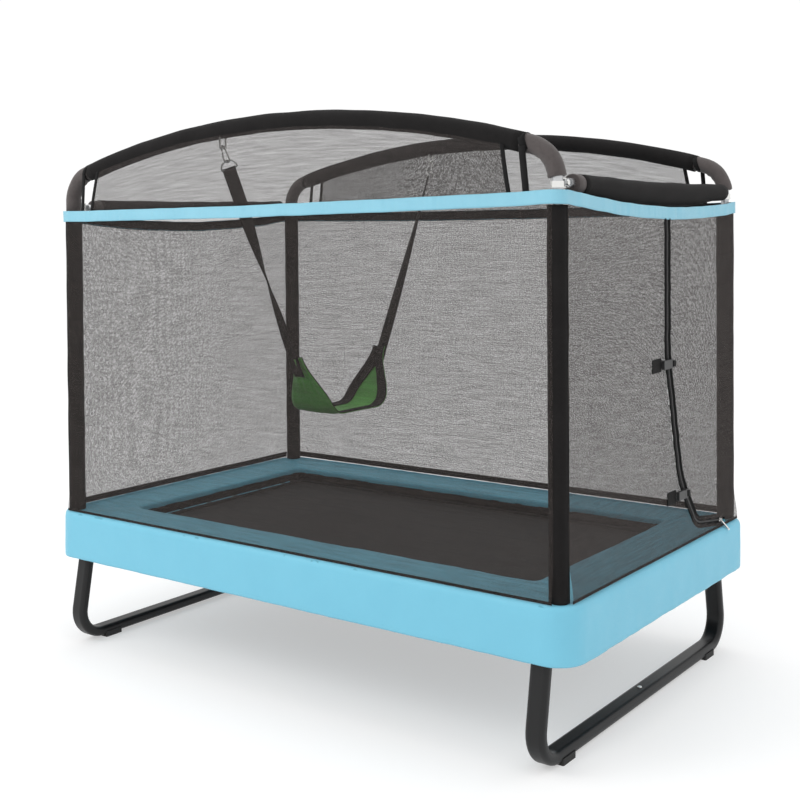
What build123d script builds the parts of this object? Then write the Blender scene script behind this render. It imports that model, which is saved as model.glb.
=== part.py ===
from build123d import *
import math
import os

# Rectangular toddler trampoline with a net enclosure and a swing. Millimetres, +Z up.
# X runs along the long side, Y along the short side; the origin is on the floor at the centre.

# Driving dimensions: plan
post_x = 860.0            # enclosure pole centres, half spacing along X
post_y = 508.5            # enclosure pole centres, half spacing along Y
frame_in_x = 38.0         # frame tube centreline, in from the pole centres
frame_in_y = 10.5
frame_corner_r = 40.0
skirt_past_x = 55.0       # outside of the pad's skirt, past the pole centres
skirt_past_y = 46.5
skirt_corner_r = 78.0
border_x = 190.0          # skirt's outside to the jumping opening
border_y = 170.0
opening_corner_r = 28.0
leg_in_x = 45.0           # leg planes, in from the pole centres

# Driving dimensions: heights
frame_z = 364.0           # frame tube centreline
mat_top = 358.0
pad_top = 405.0
pad_thick = 21.0
skirt_bottom = 265.0
pole_top = 1345.0
band_below = 15.0         # band's lower edge at its highest corner, down from the pole tops
band_tall = 33.0
bend_above = 19.28        # start of the arch bends, up from the pole tops
bar_above = 20.72         # highest end bar's centreline at its ends, up from the arch bends

# Sections
fit = 0.2                 # gap between pieces that sit in or on each other
clear = 0.5               # gap between neighbours that only pass
frame_r = 19.0
frame_wall = 1.5
pole_r = 12.7
bolt_r = 3.0
pole_wall = 1.5
bar_r = 11.0
bar_wall = 1.2
foam_r = 23.0
sleeve_wall = 1.8
leg_wide = 52.0           # leg tube across X
leg_thick = 30.0
leg_wall = 1.8
leg_edge_r = 13.0
net_thick = 1.2
band_thick = 2.0
skirt_thick = 2.0
webbing_thick = 2.2

# Legs
leg_splay = 10.0          # degrees off vertical, outward going down
leg_bend_r = 75.0
foot_under = 5.0          # rubber under the bar
foot_long = 62.0
foot_wall = 2.5
foot_tall = 17.0
lap_seam_y = 57.0         # seam of the two leg halves past the middle
lap_long = 115.0
leg_bolt_y = 12.0
socket_tall = 60.0
socket_over = 12.0        # stub past the leg's end, up into the frame tube
socket_wall = 2.5

# Mat and springs
spring_gap = 76.0         # frame's inner face to the mat's edge
mat_thick = 2.5
mat_corner_r = 30.0
hem_wide = 30.0
hem_thick = 5.0
ring_reach = 13.0
ring_wide = 24.0
ring_wire_r = 1.75
ring_base = 2.8           # ring's base wire past the mat's edge
ring_bend_r = 2.5
coil_r = 6.5
coil_long = 44.0
hook_r = 1.4
springs_long_side = 12
springs_short_side = 6
spring_corner_gap = 95.0

# Arches, bars and enclosure
crown_r = 3000.0
arch_bend_r = 90.0
pole_bottom = 303.0
spigot_deep = 60.0
arch_foam_above = 9.72    # end of an arch's foam, up from its bend
bar_end_in = 46.5         # ends of the end bar's drooping line, in from the pole centres
bar_bolt_in = 35.5
bar_foam_in = 68.5
bar_sleeve_in = 100.5     # end bar sleeve's short end, in from the pole centres
bar_tab_tall = 16.0
bar_tab_thick = 4.3
lug_thick = 3.0
gable_net_in = 35.0       # gable net's side edge, in from the arch's bend
gable_strap_past = 2.0    # gable strap's outer edge, past the arch's bend
gable_strap_wide = 16.0
gable_tape_wide = 8.0
net_hem_tall = 20.0

# Swing
swing_x = -210.0
eye_drop = 52.116         # swing pivot below the front arch's centreline
eye_wire_r = 3.0
eye_half = 11.0
hook_wire_r = 2.5
hook_top_r = 7.0          # carabiner's top bow, centreline
hook_low_r = 11.0
hook_centres = 32.0
d_half = 22.5
d_tall = 24.0
d_twist = -50.0           # turn of the back D-ring and strap top from the X direction, degrees
front_twist = -180.0      # turn of the front strap at its foot, before mirroring
strap_wide = 38.0
seat_end_y = 218.0
seat_end_z = 885.0
seat_flat_y = 120.0
seat_low_z = 708.0
seat_bend_r = 62.0
seat_wide = 165.0
seat_end_wide = 56.0
seat_thick = 2.0

# Door
zip_wide = 26.0
zip_slot = 3.0
zip_net_gap = 16.0
zip_thick = 1.5
zip_y = 32.0              # upright run of the door zip
zip_end_in = 103.5        # zip's lower end, in from the pole centre
zip_radii = [300, 200, 80]
slider_long = 13.0
slider_wide = 11.0
pull_long = 38.0
pull_wide = 9.0
pull_thick = 2.2
bridge_wide = 3.0
pull_angle = 47.0         # degrees from straight down, outward
upper_buckle_z = 912.0
lower_buckle_z = 548.0
upper_patch_in = 96.0     # outer edge of a buckle's patch, left of the zip's line
lower_patch_in = 113.0
patch_long = 56.0
patch_tall = 36.0
buckle_tall = 24.0
socket_long = 40.0
plug_long = 34.0
buckle_thick = 9.0

# Slack of the fabric and looseness of the steel; corners are named end, then side
band_drop = {"left_front": 25.0, "right_front": 0.0, "right_back": 14.0, "left_back": 22.0}
band_sag = {"front": 6.0, "back": 7.0, "left": 33.0, "right": 26.0}
arch_lift = {"left_front": 0.0, "right_front": 20.0, "right_back": 10.0, "left_back": 3.0}
bar_drop = {"left_front": 36.0, "right_front": 4.0, "right_back": 8.0, "left_back": 26.0}

# Worked-out places
frame_x = post_x - frame_in_x
frame_y = post_y - frame_in_y
skirt_x = post_x + skirt_past_x
skirt_y = post_y + skirt_past_y
opening_x = skirt_x - border_x
opening_y = skirt_y - border_y
leg_x = post_x - leg_in_x
sleeve_r = foam_r + fit + sleeve_wall
net_off = sleeve_r + clear
band_off = net_off + net_thick + 0.3
pad_bottom = pad_top - pad_thick
pad_x = skirt_x - skirt_thick - clear
pad_y = skirt_y - skirt_thick - clear
mat_x = frame_x - frame_r - spring_gap
mat_y = frame_y - frame_r - spring_gap
net_bottom = pad_top + 2.5
band_bottom = pole_top - band_below
bend_x = post_x - arch_bend_r
bend_z = pole_top + bend_above                 # start of a bend on an arch pushed fully home
bar_end_z = bend_z + bar_above
bar_end_y = post_y - bar_end_in
bar_bolt_y = post_y - bar_bolt_in
bar_foam_y = post_y - bar_foam_in
bar_tab_y = post_y - foam_r - 1.5              # tip of the end bar's flattened end
gable_net_x = bend_x - gable_net_in
gable_strap_x = bend_x + gable_strap_past
zip_end_y = post_y - zip_end_in
zip_reach = zip_end_y - zip_y
zip_points = [
    (zip_y, band_bottom - 70),
    (zip_y, 930),
    (zip_y + 0.212 * zip_reach, pad_top + 190),
    (zip_y + 0.509 * zip_reach, pad_top + 45),
    (zip_end_y, pad_top + 18),
]
net_face_x = post_x + net_off + net_thick      # outer face of the door side's net
sides = (("front", -1), ("back", 1))
ends = (("left", -1), ("right", 1))
band_ends = ("front", "back")                  # runs along X
band_others = {name: ("left", "right") for name in band_ends}
band_others.update({name: ("front", "back") for name in ("left", "right")})


def bend_centres(side):
    """Centres of an arch's left and right bends, in X and Z."""
    return [Vector(sign * bend_x, bend_z + arch_lift[f"{end}_{side}"]) for end, sign in ends]


def crown_centre(side):
    """Centre of an arch's long curve, which touches both of its bends."""
    left, right = bend_centres(side)
    half = (right - left).length / 2
    down = Vector(right.Y - left.Y, left.X - right.X).normalized()
    return (left + right) / 2 + down * math.sqrt((crown_r - arch_bend_r) ** 2 - half ** 2)


def crown_height(x, side):
    """Height of an arch's centreline at x, on its long curve."""
    centre = crown_centre(side)
    return centre.Y + math.sqrt(crown_r ** 2 - (x - centre.X) ** 2)


def zip_y_at(z):
    """Where the zip's line is at a height, along Y."""
    for (y0, z0), (y1, z1) in zip(zip_points, zip_points[1:]):
        if z1 <= z <= z0:
            return y0 + (y1 - y0) * (z0 - z) / (z0 - z1)
    return zip_y


eye_z = crown_height(swing_x, "front") - eye_drop      # swing pivot
upper_buckle = (zip_y_at(upper_buckle_z) - upper_patch_in, upper_buckle_z)
lower_buckle = (zip_y_at(lower_buckle_z) - lower_patch_in, lower_buckle_z)


def rounded_ring(outer, inner, low, high):
    """Upright ring: outer and inner are (half x, half y, corner radius)."""
    shape = RectangleRounded(2 * outer[0], 2 * outer[1], outer[2])
    shape -= RectangleRounded(2 * inner[0], 2 * inner[1], inner[2])
    return extrude(Pos(0, 0, low) * shape, high - low)


def block(x, y, z):
    """Box from three (low, high) pairs."""
    size = [abs(b - a) for a, b in (x, y, z)]
    middle = [(a + b) / 2 for a, b in (x, y, z)]
    return Pos(*middle) * Box(*size)


def rod(start, end, radius):
    """Round bar between two points."""
    start = Vector(*start)
    end = Vector(*end)
    plane = Plane(origin=start, z_dir=end - start)
    return extrude(plane * Circle(radius), (end - start).length)


def swept(path, section):
    """Section swept along a path, square to its start."""
    return sweep(Plane(origin=path @ 0, z_dir=path % 0) * section, path=path)


def pipe(path, outer, inner=0):
    """Round tube or bar along a path."""
    section = Circle(outer)
    if inner:
        section = section - Circle(inner)
    return swept(path, section)


def mirrored_y(shape, side):
    """Shape drawn for the back (+Y) placed at the given side."""
    return shape if side > 0 else mirror(shape, Plane.XZ)


def mirrored_x(shape, end):
    """Shape drawn for the right (+X) placed at the given end."""
    return shape if end > 0 else mirror(shape, Plane.YZ)


def corners(shape):
    """Shape drawn for the back right corner, at all four corners."""
    pair = [shape, mirror(shape, Plane.XZ)]
    return pair + [mirror(one, Plane.YZ) for one in pair]


# Frame
joint_x = frame_x - 150.0      # where a side tube slips onto an end tube


def frame_end():
    """Right end tube with both corner bends, spigots and the welded leg sockets."""
    path = FilletPolyline(
        (joint_x, -frame_y, frame_z),
        (frame_x, -frame_y, frame_z),
        (frame_x, frame_y, frame_z),
        (joint_x, frame_y, frame_z),
        radius=frame_corner_r,
    )
    bore_r = frame_r - frame_wall
    shape = swept(path, Circle(frame_r)) + leg_socket(1) + leg_socket(-1)
    shape -= swept(path, Circle(bore_r))
    for side in (-1, 1):
        y = side * frame_y
        shape += reduced_end((joint_x - 50, y, frame_z), (joint_x, y, frame_z), bore_r)
    return shape - drilled(frame_fasteners())


def reduced_end(tip, mouth, bore_r):
    """Tube end reduced to slide into a tube with that bore; it joins its own tube past the mouth."""
    tip = Vector(*tip)
    mouth = Vector(*mouth)
    inside = mouth + (mouth - tip).normalized() * 6.0
    wall_r = bore_r - fit - frame_wall
    solid = rod(tuple(tip), tuple(inside), bore_r - fit) + rod(tuple(mouth), tuple(inside), bore_r)
    return solid - rod(tuple(tip), tuple(inside), wall_r)


def drilled(bolts):
    """Holes for the back bolts and their mirrored front ones."""
    holes = []
    for start, way, length in bolts:
        start = Vector(*start)
        end = start + Vector(*way) * (length + 2)
        hole = rod(tuple(start), tuple(end), bolt_r + fit)
        holes += [hole, mirror(hole, Plane.XZ)]
    return holes


def leg_path(side):
    """Centreline of one leg half, from its top in the socket to the bar's middle."""
    low_z = foot_under + leg_thick / 2
    top_z = frame_z - frame_r - 4
    corner_y = frame_y + math.tan(math.radians(leg_splay)) * (top_z - low_z)
    return [(leg_x, side * frame_y, top_z), (leg_x, side * corner_y, low_z), (leg_x, 0, low_z)]


def leg_section(grow=0.0):
    """Flat-oval tube outline, wide across X."""
    return RectangleRounded(leg_thick + 2 * grow, leg_wide + 2 * grow, leg_edge_r + grow)


def along_leg(side, section, start, length):
    """Section extruded along a leg's upper run, start measured down from its top."""
    top, corner, _ = [Vector(*p) for p in leg_path(side)]
    way = (corner - top).normalized()
    plane = Plane(origin=top + way * start, x_dir=(0, way.Z, -way.Y), z_dir=way)
    return extrude(plane * section, length)


def leg_socket(side):
    """Oval stub welded under a frame corner; the leg's top slides up into it."""
    stub = along_leg(side, leg_section(fit + socket_wall), -socket_over, socket_tall + 9)
    return stub - along_leg(side, leg_section(fit), -fit, socket_tall + 5)


def socket_top():
    """Highest point of a leg socket: its end is square to the splayed leg."""
    lean = math.radians(leg_splay)
    half = leg_thick / 2 + fit + socket_wall
    return leg_path(1)[0][2] + socket_over * math.cos(lean) + half * math.sin(lean)


def frame_side():
    """Straight tube along the back, slipped over the end tubes' spigots."""
    start = (-joint_x + fit, frame_y, frame_z)
    end = (joint_x - fit, frame_y, frame_z)
    shape = rod(start, end, frame_r) - rod(start, end, frame_r - frame_wall)
    holes = drilled(frame_fasteners())
    return shape - holes - [mirror(hole, Plane.YZ) for hole in holes]


# Legs
def leg_tube(side):
    """One half of a leg without its lap."""
    top, corner, middle = leg_path(side)
    path = FilletPolyline(top, corner, middle, radius=leg_bend_r)
    way = path % 0
    plane = Plane(origin=path @ 0, x_dir=(0, way.Z, -way.Y), z_dir=way)
    return sweep(plane * (leg_section() - leg_section(-leg_wall)), path=path)


def bar_run(section, low_y, high_y):
    """Section extruded along the leg's bottom bar."""
    plane = Plane(origin=(leg_x, low_y, foot_under + leg_thick / 2), x_dir=(0, 0, 1), z_dir=(0, 1, 0))
    return extrude(plane * section, high_y - low_y)


def leg_bolt_hole():
    """Hole for the bolt through the lap."""
    return rod((leg_x, leg_bolt_y, -5), (leg_x, leg_bolt_y, 60), 3.2 + fit)


def leg_front():
    """Front half: its bar runs past the middle and takes the back half's reduced end."""
    tail = bar_run(leg_section() - leg_section(-leg_wall), 0, lap_seam_y)
    return leg_tube(-1) + tail - leg_bolt_hole() - drilled(frame_fasteners())


def leg_back():
    """Back half, with an end reduced to slide inside the front half."""
    shape = leg_tube(1) - bar_run(Rectangle(100, 100), -10, lap_seam_y + fit)
    inner = -leg_wall - fit
    lap = bar_run(leg_section(inner) - leg_section(inner - leg_wall), lap_seam_y - lap_long, lap_seam_y + 12)
    neck = bar_run(leg_section() - leg_section(inner - leg_wall), lap_seam_y + fit, lap_seam_y + 6)
    return shape + neck + lap - leg_bolt_hole() - drilled(frame_fasteners())


def leg_bolt():
    """Dome-headed bolt down through the lap with a nut under the bar."""
    top = foot_under + leg_thick
    head = Pos(leg_x, leg_bolt_y, top + 1.7) * Cylinder(6.5, 3.0)
    head = fillet(head.faces().sort_by(Axis.Z)[-1].edges(), 1.4)
    shank = rod((leg_x, leg_bolt_y, foot_under - 3.5), (leg_x, leg_bolt_y, top + 0.5), 3.0)
    nut = Pos(leg_x, leg_bolt_y, foot_under - 2.0) * extrude(RegularPolygon(5.5, 6), 1.8)
    return head + shank + nut


def foot(side):
    """Rubber cradle under the bar beside its bend."""
    top, corner, _ = leg_path(side)
    bend_end = abs(corner[1]) - leg_bend_r * math.tan(math.radians((90 + leg_splay) / 2))
    low, high = bend_end - 4 - foot_long, bend_end - 4
    span = sorted((side * low, side * high))
    half = leg_wide / 2 + fit + foot_wall
    shape = block((leg_x - half, leg_x + half), span, (0, foot_tall))
    shape = fillet(shape.edges().filter_by(Axis.Z), 4)
    return shape - bar_run(leg_section(fit), span[0] - 1, span[1] + 1)


# Fasteners and pole brackets
def frame_bolt(start, way, length):
    """Hex bolt: head outside at start, shank going along way."""
    start = Vector(*start)
    way = Vector(*way)
    head = extrude(Plane(origin=start, z_dir=way * -1) * RegularPolygon(6.5, 6), 4.5)
    return head + extrude(Plane(origin=start, z_dir=way) * Circle(bolt_r), length)


def pole_bracket():
    """Cup for the back right pole with a strap plate onto the frame's end tube."""
    cup_r = pole_r + fit + 2.6
    cup = extrude(Pos(post_x, post_y, pole_bottom - 3) * Circle(cup_r), pad_bottom - pole_bottom - 2)
    cup -= extrude(Pos(post_x, post_y, pole_bottom) * Circle(pole_r + fit), 200)
    face = frame_x + frame_r + fit
    plate = block((face, face + 4), (post_y - 78, post_y), (socket_top() + fit, frame_z + 16))
    plate -= extrude(Pos(post_x, post_y, pole_bottom) * Circle(pole_r + fit), 200)
    return cup + plate - drilled(frame_fasteners()[:1])


def frame_fasteners():
    """(start, way, length) of the back right bolts: pole bracket, leg socket and slip joint."""
    bracket = ((frame_x + frame_r + fit + 4, post_y - 64, frame_z), (-1, 0, 0), 2 * frame_r)
    socket_y = frame_y + leg_thick / 2 + fit + socket_wall + 5.5
    socket = ((leg_x, socket_y, frame_z - frame_r - 28), (0, -1, 0), 30)
    slip = ((joint_x - 25, frame_y, frame_z - frame_r), (0, 0, 1), 2 * frame_r - 4)
    return [bracket, socket, slip]


# Mat, hem, rings and springs
def spring_places():
    """(position on the mat's edge, outward direction) of every spring."""
    places = []
    for count, half, other, along in (
        (springs_long_side, mat_x, mat_y, 0),
        (springs_short_side, mat_y, mat_x, 1),
    ):
        pitch = 2 * (half - spring_corner_gap) / (count - 1)
        for i in range(count):
            t = -half + spring_corner_gap + i * pitch
            for side in (-1, 1):
                point = (t, side * other) if along == 0 else (side * other, t)
                way = (0, side) if along == 0 else (side, 0)
                places.append((point, way))
    return places


def placed(shape, point, way):
    """Shape drawn pointing outward along +X from the mat's edge, put at a spring place."""
    angle = math.degrees(math.atan2(way[1], way[0]))
    return Pos(point[0], point[1], 0) * Rot(0, 0, angle) * shape


def mat_ring():
    """Triangular wire ring, its base in the hem's fold and its point outward."""
    z = mat_top - 1.2
    points = [(ring_base, ring_wide / 2, z), (ring_base + ring_reach, 0, z), (ring_base, -ring_wide / 2, z)]
    path = FilletPolyline(*points, radius=ring_bend_r, close=True)
    return swept(path, Circle(ring_wire_r))


def spring():
    """Coil stood in by a closed cylinder, with its two hooks."""
    z = frame_z - 4.0
    half_point = math.atan2(ring_wide / 2, ring_reach)
    ring_tip = ring_base + ring_reach - ring_bend_r * (1 / math.sin(half_point) - 1)
    tip = ring_tip - ring_wire_r - fit - hook_r
    coil_start = tip + 7.5
    coil_end = coil_start + coil_long
    hole_x = spring_gap - hook_r - fit
    coil = rod((coil_start, 0, z), (coil_end, 0, z), coil_r)
    inner = rod((tip, 0, z), (coil_start, 0, z), hook_r)
    inner += rod((tip, 0, z), (tip, 0, z - 8.5), hook_r)
    outer = rod((coil_end, 0, z), (hole_x, 0, z), hook_r)
    outer += rod((hole_x, 0, z + hook_r), (hole_x, 0, z - 6), hook_r)
    return coil + inner + outer


# Poles, arches and end bars
def pole():
    """Steel tube of the back right pole."""
    ring = Pos(post_x, post_y, pole_bottom + fit) * (Circle(pole_r) - Circle(pole_r - pole_wall))
    return extrude(ring, pole_top - pole_bottom - 2 * fit)


def pole_cover(outer, inner):
    """Foam or fabric tube round the back right pole, between pad and band."""
    ring = Pos(post_x, post_y, pad_top + 1.5) * (Circle(outer) - Circle(inner))
    return extrude(ring, band_bottom - pad_top - 3)


def arch_path(side, limit_x=None, foam=False):
    """Centreline of one arch in the plane of the back poles: whole, under its foam, or to limit_x."""
    def at(x, z):
        return (x, post_y, z)

    if limit_x:
        spots = [at(x, crown_height(x, side)) for x in (-limit_x, 0, limit_x)]
        return ThreePointArc(*spots)
    centre = crown_centre(side)
    bends = []
    touches = []
    for bend, sign in zip(bend_centres(side), (-1, 1)):
        touch = centre + (bend - centre).normalized() * crown_r
        first = math.asin(arch_foam_above / arch_bend_r) if foam else 0.0
        last = math.acos(abs(touch.X - bend.X) / arch_bend_r)
        spots = []
        for angle in (first, (first + last) / 2, last):
            x = bend.X + sign * arch_bend_r * math.cos(angle)
            spots.append(at(x, bend.Y + arch_bend_r * math.sin(angle)))
        bends.append(spots)
        touches.append(touch)
    top_x = (touches[0].X + touches[1].X) / 2
    crown = ThreePointArc(bends[0][2], at(top_x, crown_height(top_x, side)), bends[1][2])
    edges = [ThreePointArc(*bends[0]), crown, ThreePointArc(*bends[1][::-1])]
    if not foam:
        for spots in bends:
            x, _, z = spots[0]
            edges.append(Line(at(x, arch_foot_z(side, x)), at(x, z)))
        edges = [edges[3], edges[0], edges[1], edges[2], edges[4]]
    return Wire([edge for part in edges for edge in part.edges()])


def arch_foot_z(side, x):
    """Shoulder of an arch's foot: on the pole's top, or lifted off it."""
    end = "left" if x < 0 else "right"
    return pole_top + arch_lift[f"{end}_{side}"]


def arch_tube(side):
    """Steel arch, its ends reduced to slide into the poles."""
    shape = pipe(arch_path(side), pole_r, pole_r - pole_wall)
    for _, sign in ends:
        x = sign * post_x
        shoulder = arch_foot_z(side, x)
        shape += reduced_end((x, post_y, pole_top - spigot_deep), (x, post_y, shoulder), pole_r - pole_wall)
    return shape


def eye_slot(side):
    """Room in foam and sleeve for the swing eye's legs and saddle."""
    top = crown_height(swing_x, side) - pole_r + 1
    half = eye_half + eye_wire_r + 2
    return block((swing_x - 9, swing_x + 9), (post_y - half, post_y + half), (eye_z, top))


def bar_heights(end):
    """Heights of an end bar's front and back ends."""
    return [bar_end_z - bar_drop[f"{end}_{side}"] for side, _ in sides]


def bar_path(end, low_y, high_y):
    """Piece of an end bar's straight centreline, drawn at the right end."""
    front, back = bar_heights(end)

    def at(y):
        return (post_x, y, (front + back) / 2 + (back - front) * y / (2 * bar_end_y))

    return Line(at(low_y), at(high_y))


def end_bar(end):
    """End bar: steel tube with plugged ends, each with a flat drilled tab, and a drain hole."""
    tip_y = bar_end_y - 6
    shape = pipe(bar_path(end, -tip_y, tip_y), bar_r, bar_r - bar_wall)
    low_z = (bar_path(end, -10, 10) @ 0.5).Z
    shape -= rod((post_x, 0, low_z - 2 * bar_r), (post_x, 0, low_z), bolt_r)
    tab_x = post_x + lug_thick / 2 + fit
    for (_, side), z in zip(sides, bar_heights(end)):
        near, far = sorted((side * (tip_y - 20), side * tip_y))
        run = bar_path(end, near, far)
        shape += rod(tuple(run @ 0), tuple(run @ 1), bar_r - bar_wall / 2)
        span = sorted((side * (tip_y - 12), side * bar_tab_y))
        tall = (z - bar_tab_tall / 2, z + bar_tab_tall / 2)
        shape += block((tab_x, tab_x + bar_tab_thick), span, tall)
        bolt_y = side * bar_bolt_y
        shape -= rod((post_x, bolt_y, z), (post_x + 20, bolt_y, z), bolt_r + fit)
    return shape


def bar_bracket(z, lift):
    """Clamp ring round an arch foot with a lug for the end bar, drawn at the back right."""
    low, high = pole_top + lift + 3, bend_z + lift - 1
    outer = pole_r + fit + 3
    lug_y = bar_bolt_y - 10
    wide = (post_x - lug_thick / 2, post_x + lug_thick / 2)
    ring = extrude(Pos(post_x, post_y, low) * Circle(outer), high - low)
    lug = block(wide, (lug_y, post_y - pole_r), (low, high))
    lug += block(wide, (lug_y, bar_tab_y), (min(low, z - 11), max(high, z + 11)))
    shape = ring + lug - extrude(Pos(post_x, post_y, low) * Circle(pole_r + fit), 60)
    return shape - rod((post_x - 10, bar_bolt_y, z), (post_x + 10, bar_bolt_y, z), bolt_r + fit)


def bar_bolt(z):
    """Bolt through the end bar's flat tab and the lug."""
    start = post_x + lug_thick / 2 + fit + bar_tab_thick + fit
    return frame_bolt((start, bar_bolt_y, z), (-1, 0, 0), 12)


def at_corners(draw):
    """draw(end, side) is a shape at the back right; each corner gets its own, mirrored into place."""
    return [mirrored_x(mirrored_y(draw(end, side), sy), sx) for end, sx in ends for side, sy in sides]


# Net enclosure
def band_low(end, side):
    """Band's lower edge at a corner."""
    return band_bottom - band_drop[f"{end}_{side}"]


def wall_sheet(name, low, high, low_follows, face, thick):
    """Sheet across one side or end, between the pole lines; its edges may follow the band.

    low and high are heights, above the band's lower edge where they follow it.
    """
    across = name in band_ends
    half = post_x if across else post_y
    corners_z = [band_low(*((end, name) if across else (name, end))) for end in (band_others[name])]

    def edge(z, follows):
        if not follows:
            return Line((-half, z), (half, z))
        start, stop = [z + corner for corner in corners_z]
        return ThreePointArc((-half, start), (0, (start + stop) / 2 - band_sag[name]), (half, stop))

    lower = edge(low, low_follows)
    upper = edge(high, True)
    outline = [lower, Line(lower @ 1, upper @ 1), upper, Line(upper @ 0, lower @ 0)]
    sketch = make_face([e for part in outline for e in part.edges()])
    sign = -1 if name in ("front", "left") else 1
    if across:
        plane = Plane(origin=(0, sign * face, 0), x_dir=(1, 0, 0), z_dir=(0, -1, 0))
        return extrude(plane * sketch, -sign * thick)
    plane = Plane(origin=(sign * face, 0, 0), x_dir=(0, 1, 0), z_dir=(1, 0, 0))
    return extrude(plane * sketch, sign * thick)


def side_net(name):
    """Front or back net between the poles, from the pad into the band."""
    return wall_sheet(name, net_bottom, band_tall - 6, False, post_y + net_off, net_thick)


def end_net(name):
    """Left or right net between the poles, from the pad into the band."""
    return wall_sheet(name, net_bottom, band_tall - 6, False, post_x + net_off, net_thick)


def zip_line():
    """Door zip's centreline in the plane of the right end."""
    return FilletPolyline(*zip_points, radius=zip_radii)


def zip_strip(width, face, thick, stretch=0.0):
    """Strip that follows the zip, standing on the plane x = face."""
    first, second = [Vector(*p) for p in zip_points[:2]]
    before, last = [Vector(*p) for p in zip_points[-2:]]
    points = [tuple(p)[:2] for p in (first + (first - second).normalized() * stretch,)]
    points += zip_points[1:-1]
    points += [tuple(last + (last - before).normalized() * stretch)[:2]]
    path = FilletPolyline(*points, radius=zip_radii)
    across = Plane(origin=path @ 0, z_dir=path % 0, x_dir=(0, 0, 1)) * Line((0, -width / 2), (0, width / 2))
    sketch = sweep(across, path=path)
    plane = Plane(origin=(face, 0, 0), x_dir=(0, 1, 0), z_dir=(1, 0, 0))
    return extrude(plane * sketch, thick)


def gable_low(side, x):
    """Lower edge of a gable net, behind the band."""
    left, right = [band_low(end, side) for end, _ in ends]
    return (left + right) / 2 + (right - left) * x / (2 * post_x) - band_sag[side] + band_tall / 2


def gable_drop():
    """Top of the gable net, down from the arch's centreline."""
    return sleeve_r / 2 + 1.0


def gable_net(side):
    """Net between an arch's sleeve and the band, drawn at the back."""
    corners_at = [(x, gable_low(side, x)) for x in (-gable_net_x, gable_net_x)]
    tops = [(x, crown_height(x, side) - gable_drop()) for x in (-gable_net_x, 0, gable_net_x)]
    outline = [
        Line(corners_at[0], corners_at[1]),
        Line(corners_at[1], tops[2]),
        ThreePointArc(tops[2], tops[1], tops[0]),
        Line(tops[0], corners_at[0]),
    ]
    sketch = make_face([e for part in outline for e in part.edges()])
    plane = Plane(origin=(0, gable_face(), 0), x_dir=(1, 0, 0), z_dir=(0, -1, 0))
    return extrude(plane * sketch, -net_thick)


def gable_face():
    """Inner face of the gable net, just inside the side net."""
    return post_y + net_off - 0.5 - 2 * net_thick


def gable_tapes(side):
    """Binding tape and tie strap at both ends of a gable net, drawn at the back."""
    shapes = []
    for _, end in ends:
        tape = (gable_net_x + 0.3, gable_tape_wide)
        strap = (gable_strap_x - gable_strap_wide, gable_strap_wide)
        for near, wide in (tape, strap):
            span = sorted((end * near, end * (near + wide)))
            far = end * (near + wide)
            high = crown_height(far, side) - gable_drop()
            shapes.append(block(span, (gable_face(), gable_face() + 1.8), (gable_low(side, far), high)))
    return shapes


def top_band():
    """Band round the whole enclosure over the pole tops; each run sags between its corners."""
    band = []
    for name in band_others:
        line = post_y if name in band_ends else post_x
        band.append(wall_sheet(name, 0, band_tall, True, line + band_off, band_thick))

    def bend(end, side):
        ring = Circle(band_off + band_thick) - Circle(band_off)
        quarter = ring & Pos(band_off, band_off) * Rectangle(2 * band_off, 2 * band_off)
        return extrude(Pos(post_x, post_y, band_low(end, side)) * quarter, band_tall)

    whole = band[0]
    for piece in band[1:] + at_corners(bend):
        whole += piece
    return whole


def net_hem():
    """Webbing strips inside the foot of each net, between the poles."""
    gap = sleeve_r + clear
    high = net_bottom + net_hem_tall
    y = post_y + net_off - 0.3
    x = post_x + net_off - 0.3
    along_x = block((-post_x + gap, post_x - gap), (y - 1.5, y), (net_bottom, high))
    along_y = block((x - 1.5, x), (-post_y + gap, post_y - gap), (net_bottom, high))
    door_side = along_y - zip_strip(zip_net_gap + 6, x - 5, 10, stretch=8)
    return [along_x, mirror(along_x, Plane.XZ), door_side, mirror(along_y, Plane.YZ)]


# Door zip and buckles
zip_face = net_face_x + 0.3
zip_end = Vector(0, *zip_points[-1])
zip_way = (Vector(0, *zip_points[-2]) - zip_end).normalized()
slider_at = zip_end + zip_way * 14.0


def slider_plane(x):
    """Plane facing outward on the slider, x_dir up the zip."""
    return Plane(origin=(x, slider_at.Y, slider_at.Z), x_dir=zip_way, z_dir=(1, 0, 0))


def zip_slider():
    """Outer plate, neck through the zip's slot, inner plate and the pull's bridge."""
    outer_x = zip_face + zip_thick + 0.35
    plate = extrude(slider_plane(outer_x) * RectangleRounded(slider_long, slider_wide, 3.0), 1.8)
    neck = extrude(slider_plane(zip_face - 2.2) * Rectangle(slider_long - 6, zip_slot - 1.0), zip_thick + 3.2)
    inner = extrude(slider_plane(zip_face - 2.2) * RectangleRounded(slider_long, slider_wide, 3.0), 1.8)
    bridge = extrude(slider_plane(outer_x + 1.5) * Rectangle(bridge_wide, slider_wide - 0.5), 5.4)
    window = extrude(slider_plane(outer_x + 1.9) * Rectangle(2 * bridge_wide, slider_wide - 4.0), 3.6)
    return plate + neck + inner + bridge - window


def pull_pivot():
    """Centre of the bridge's window."""
    return Vector(zip_face + zip_thick + 0.35 + 3.7, slider_at.Y, slider_at.Z)


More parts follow.
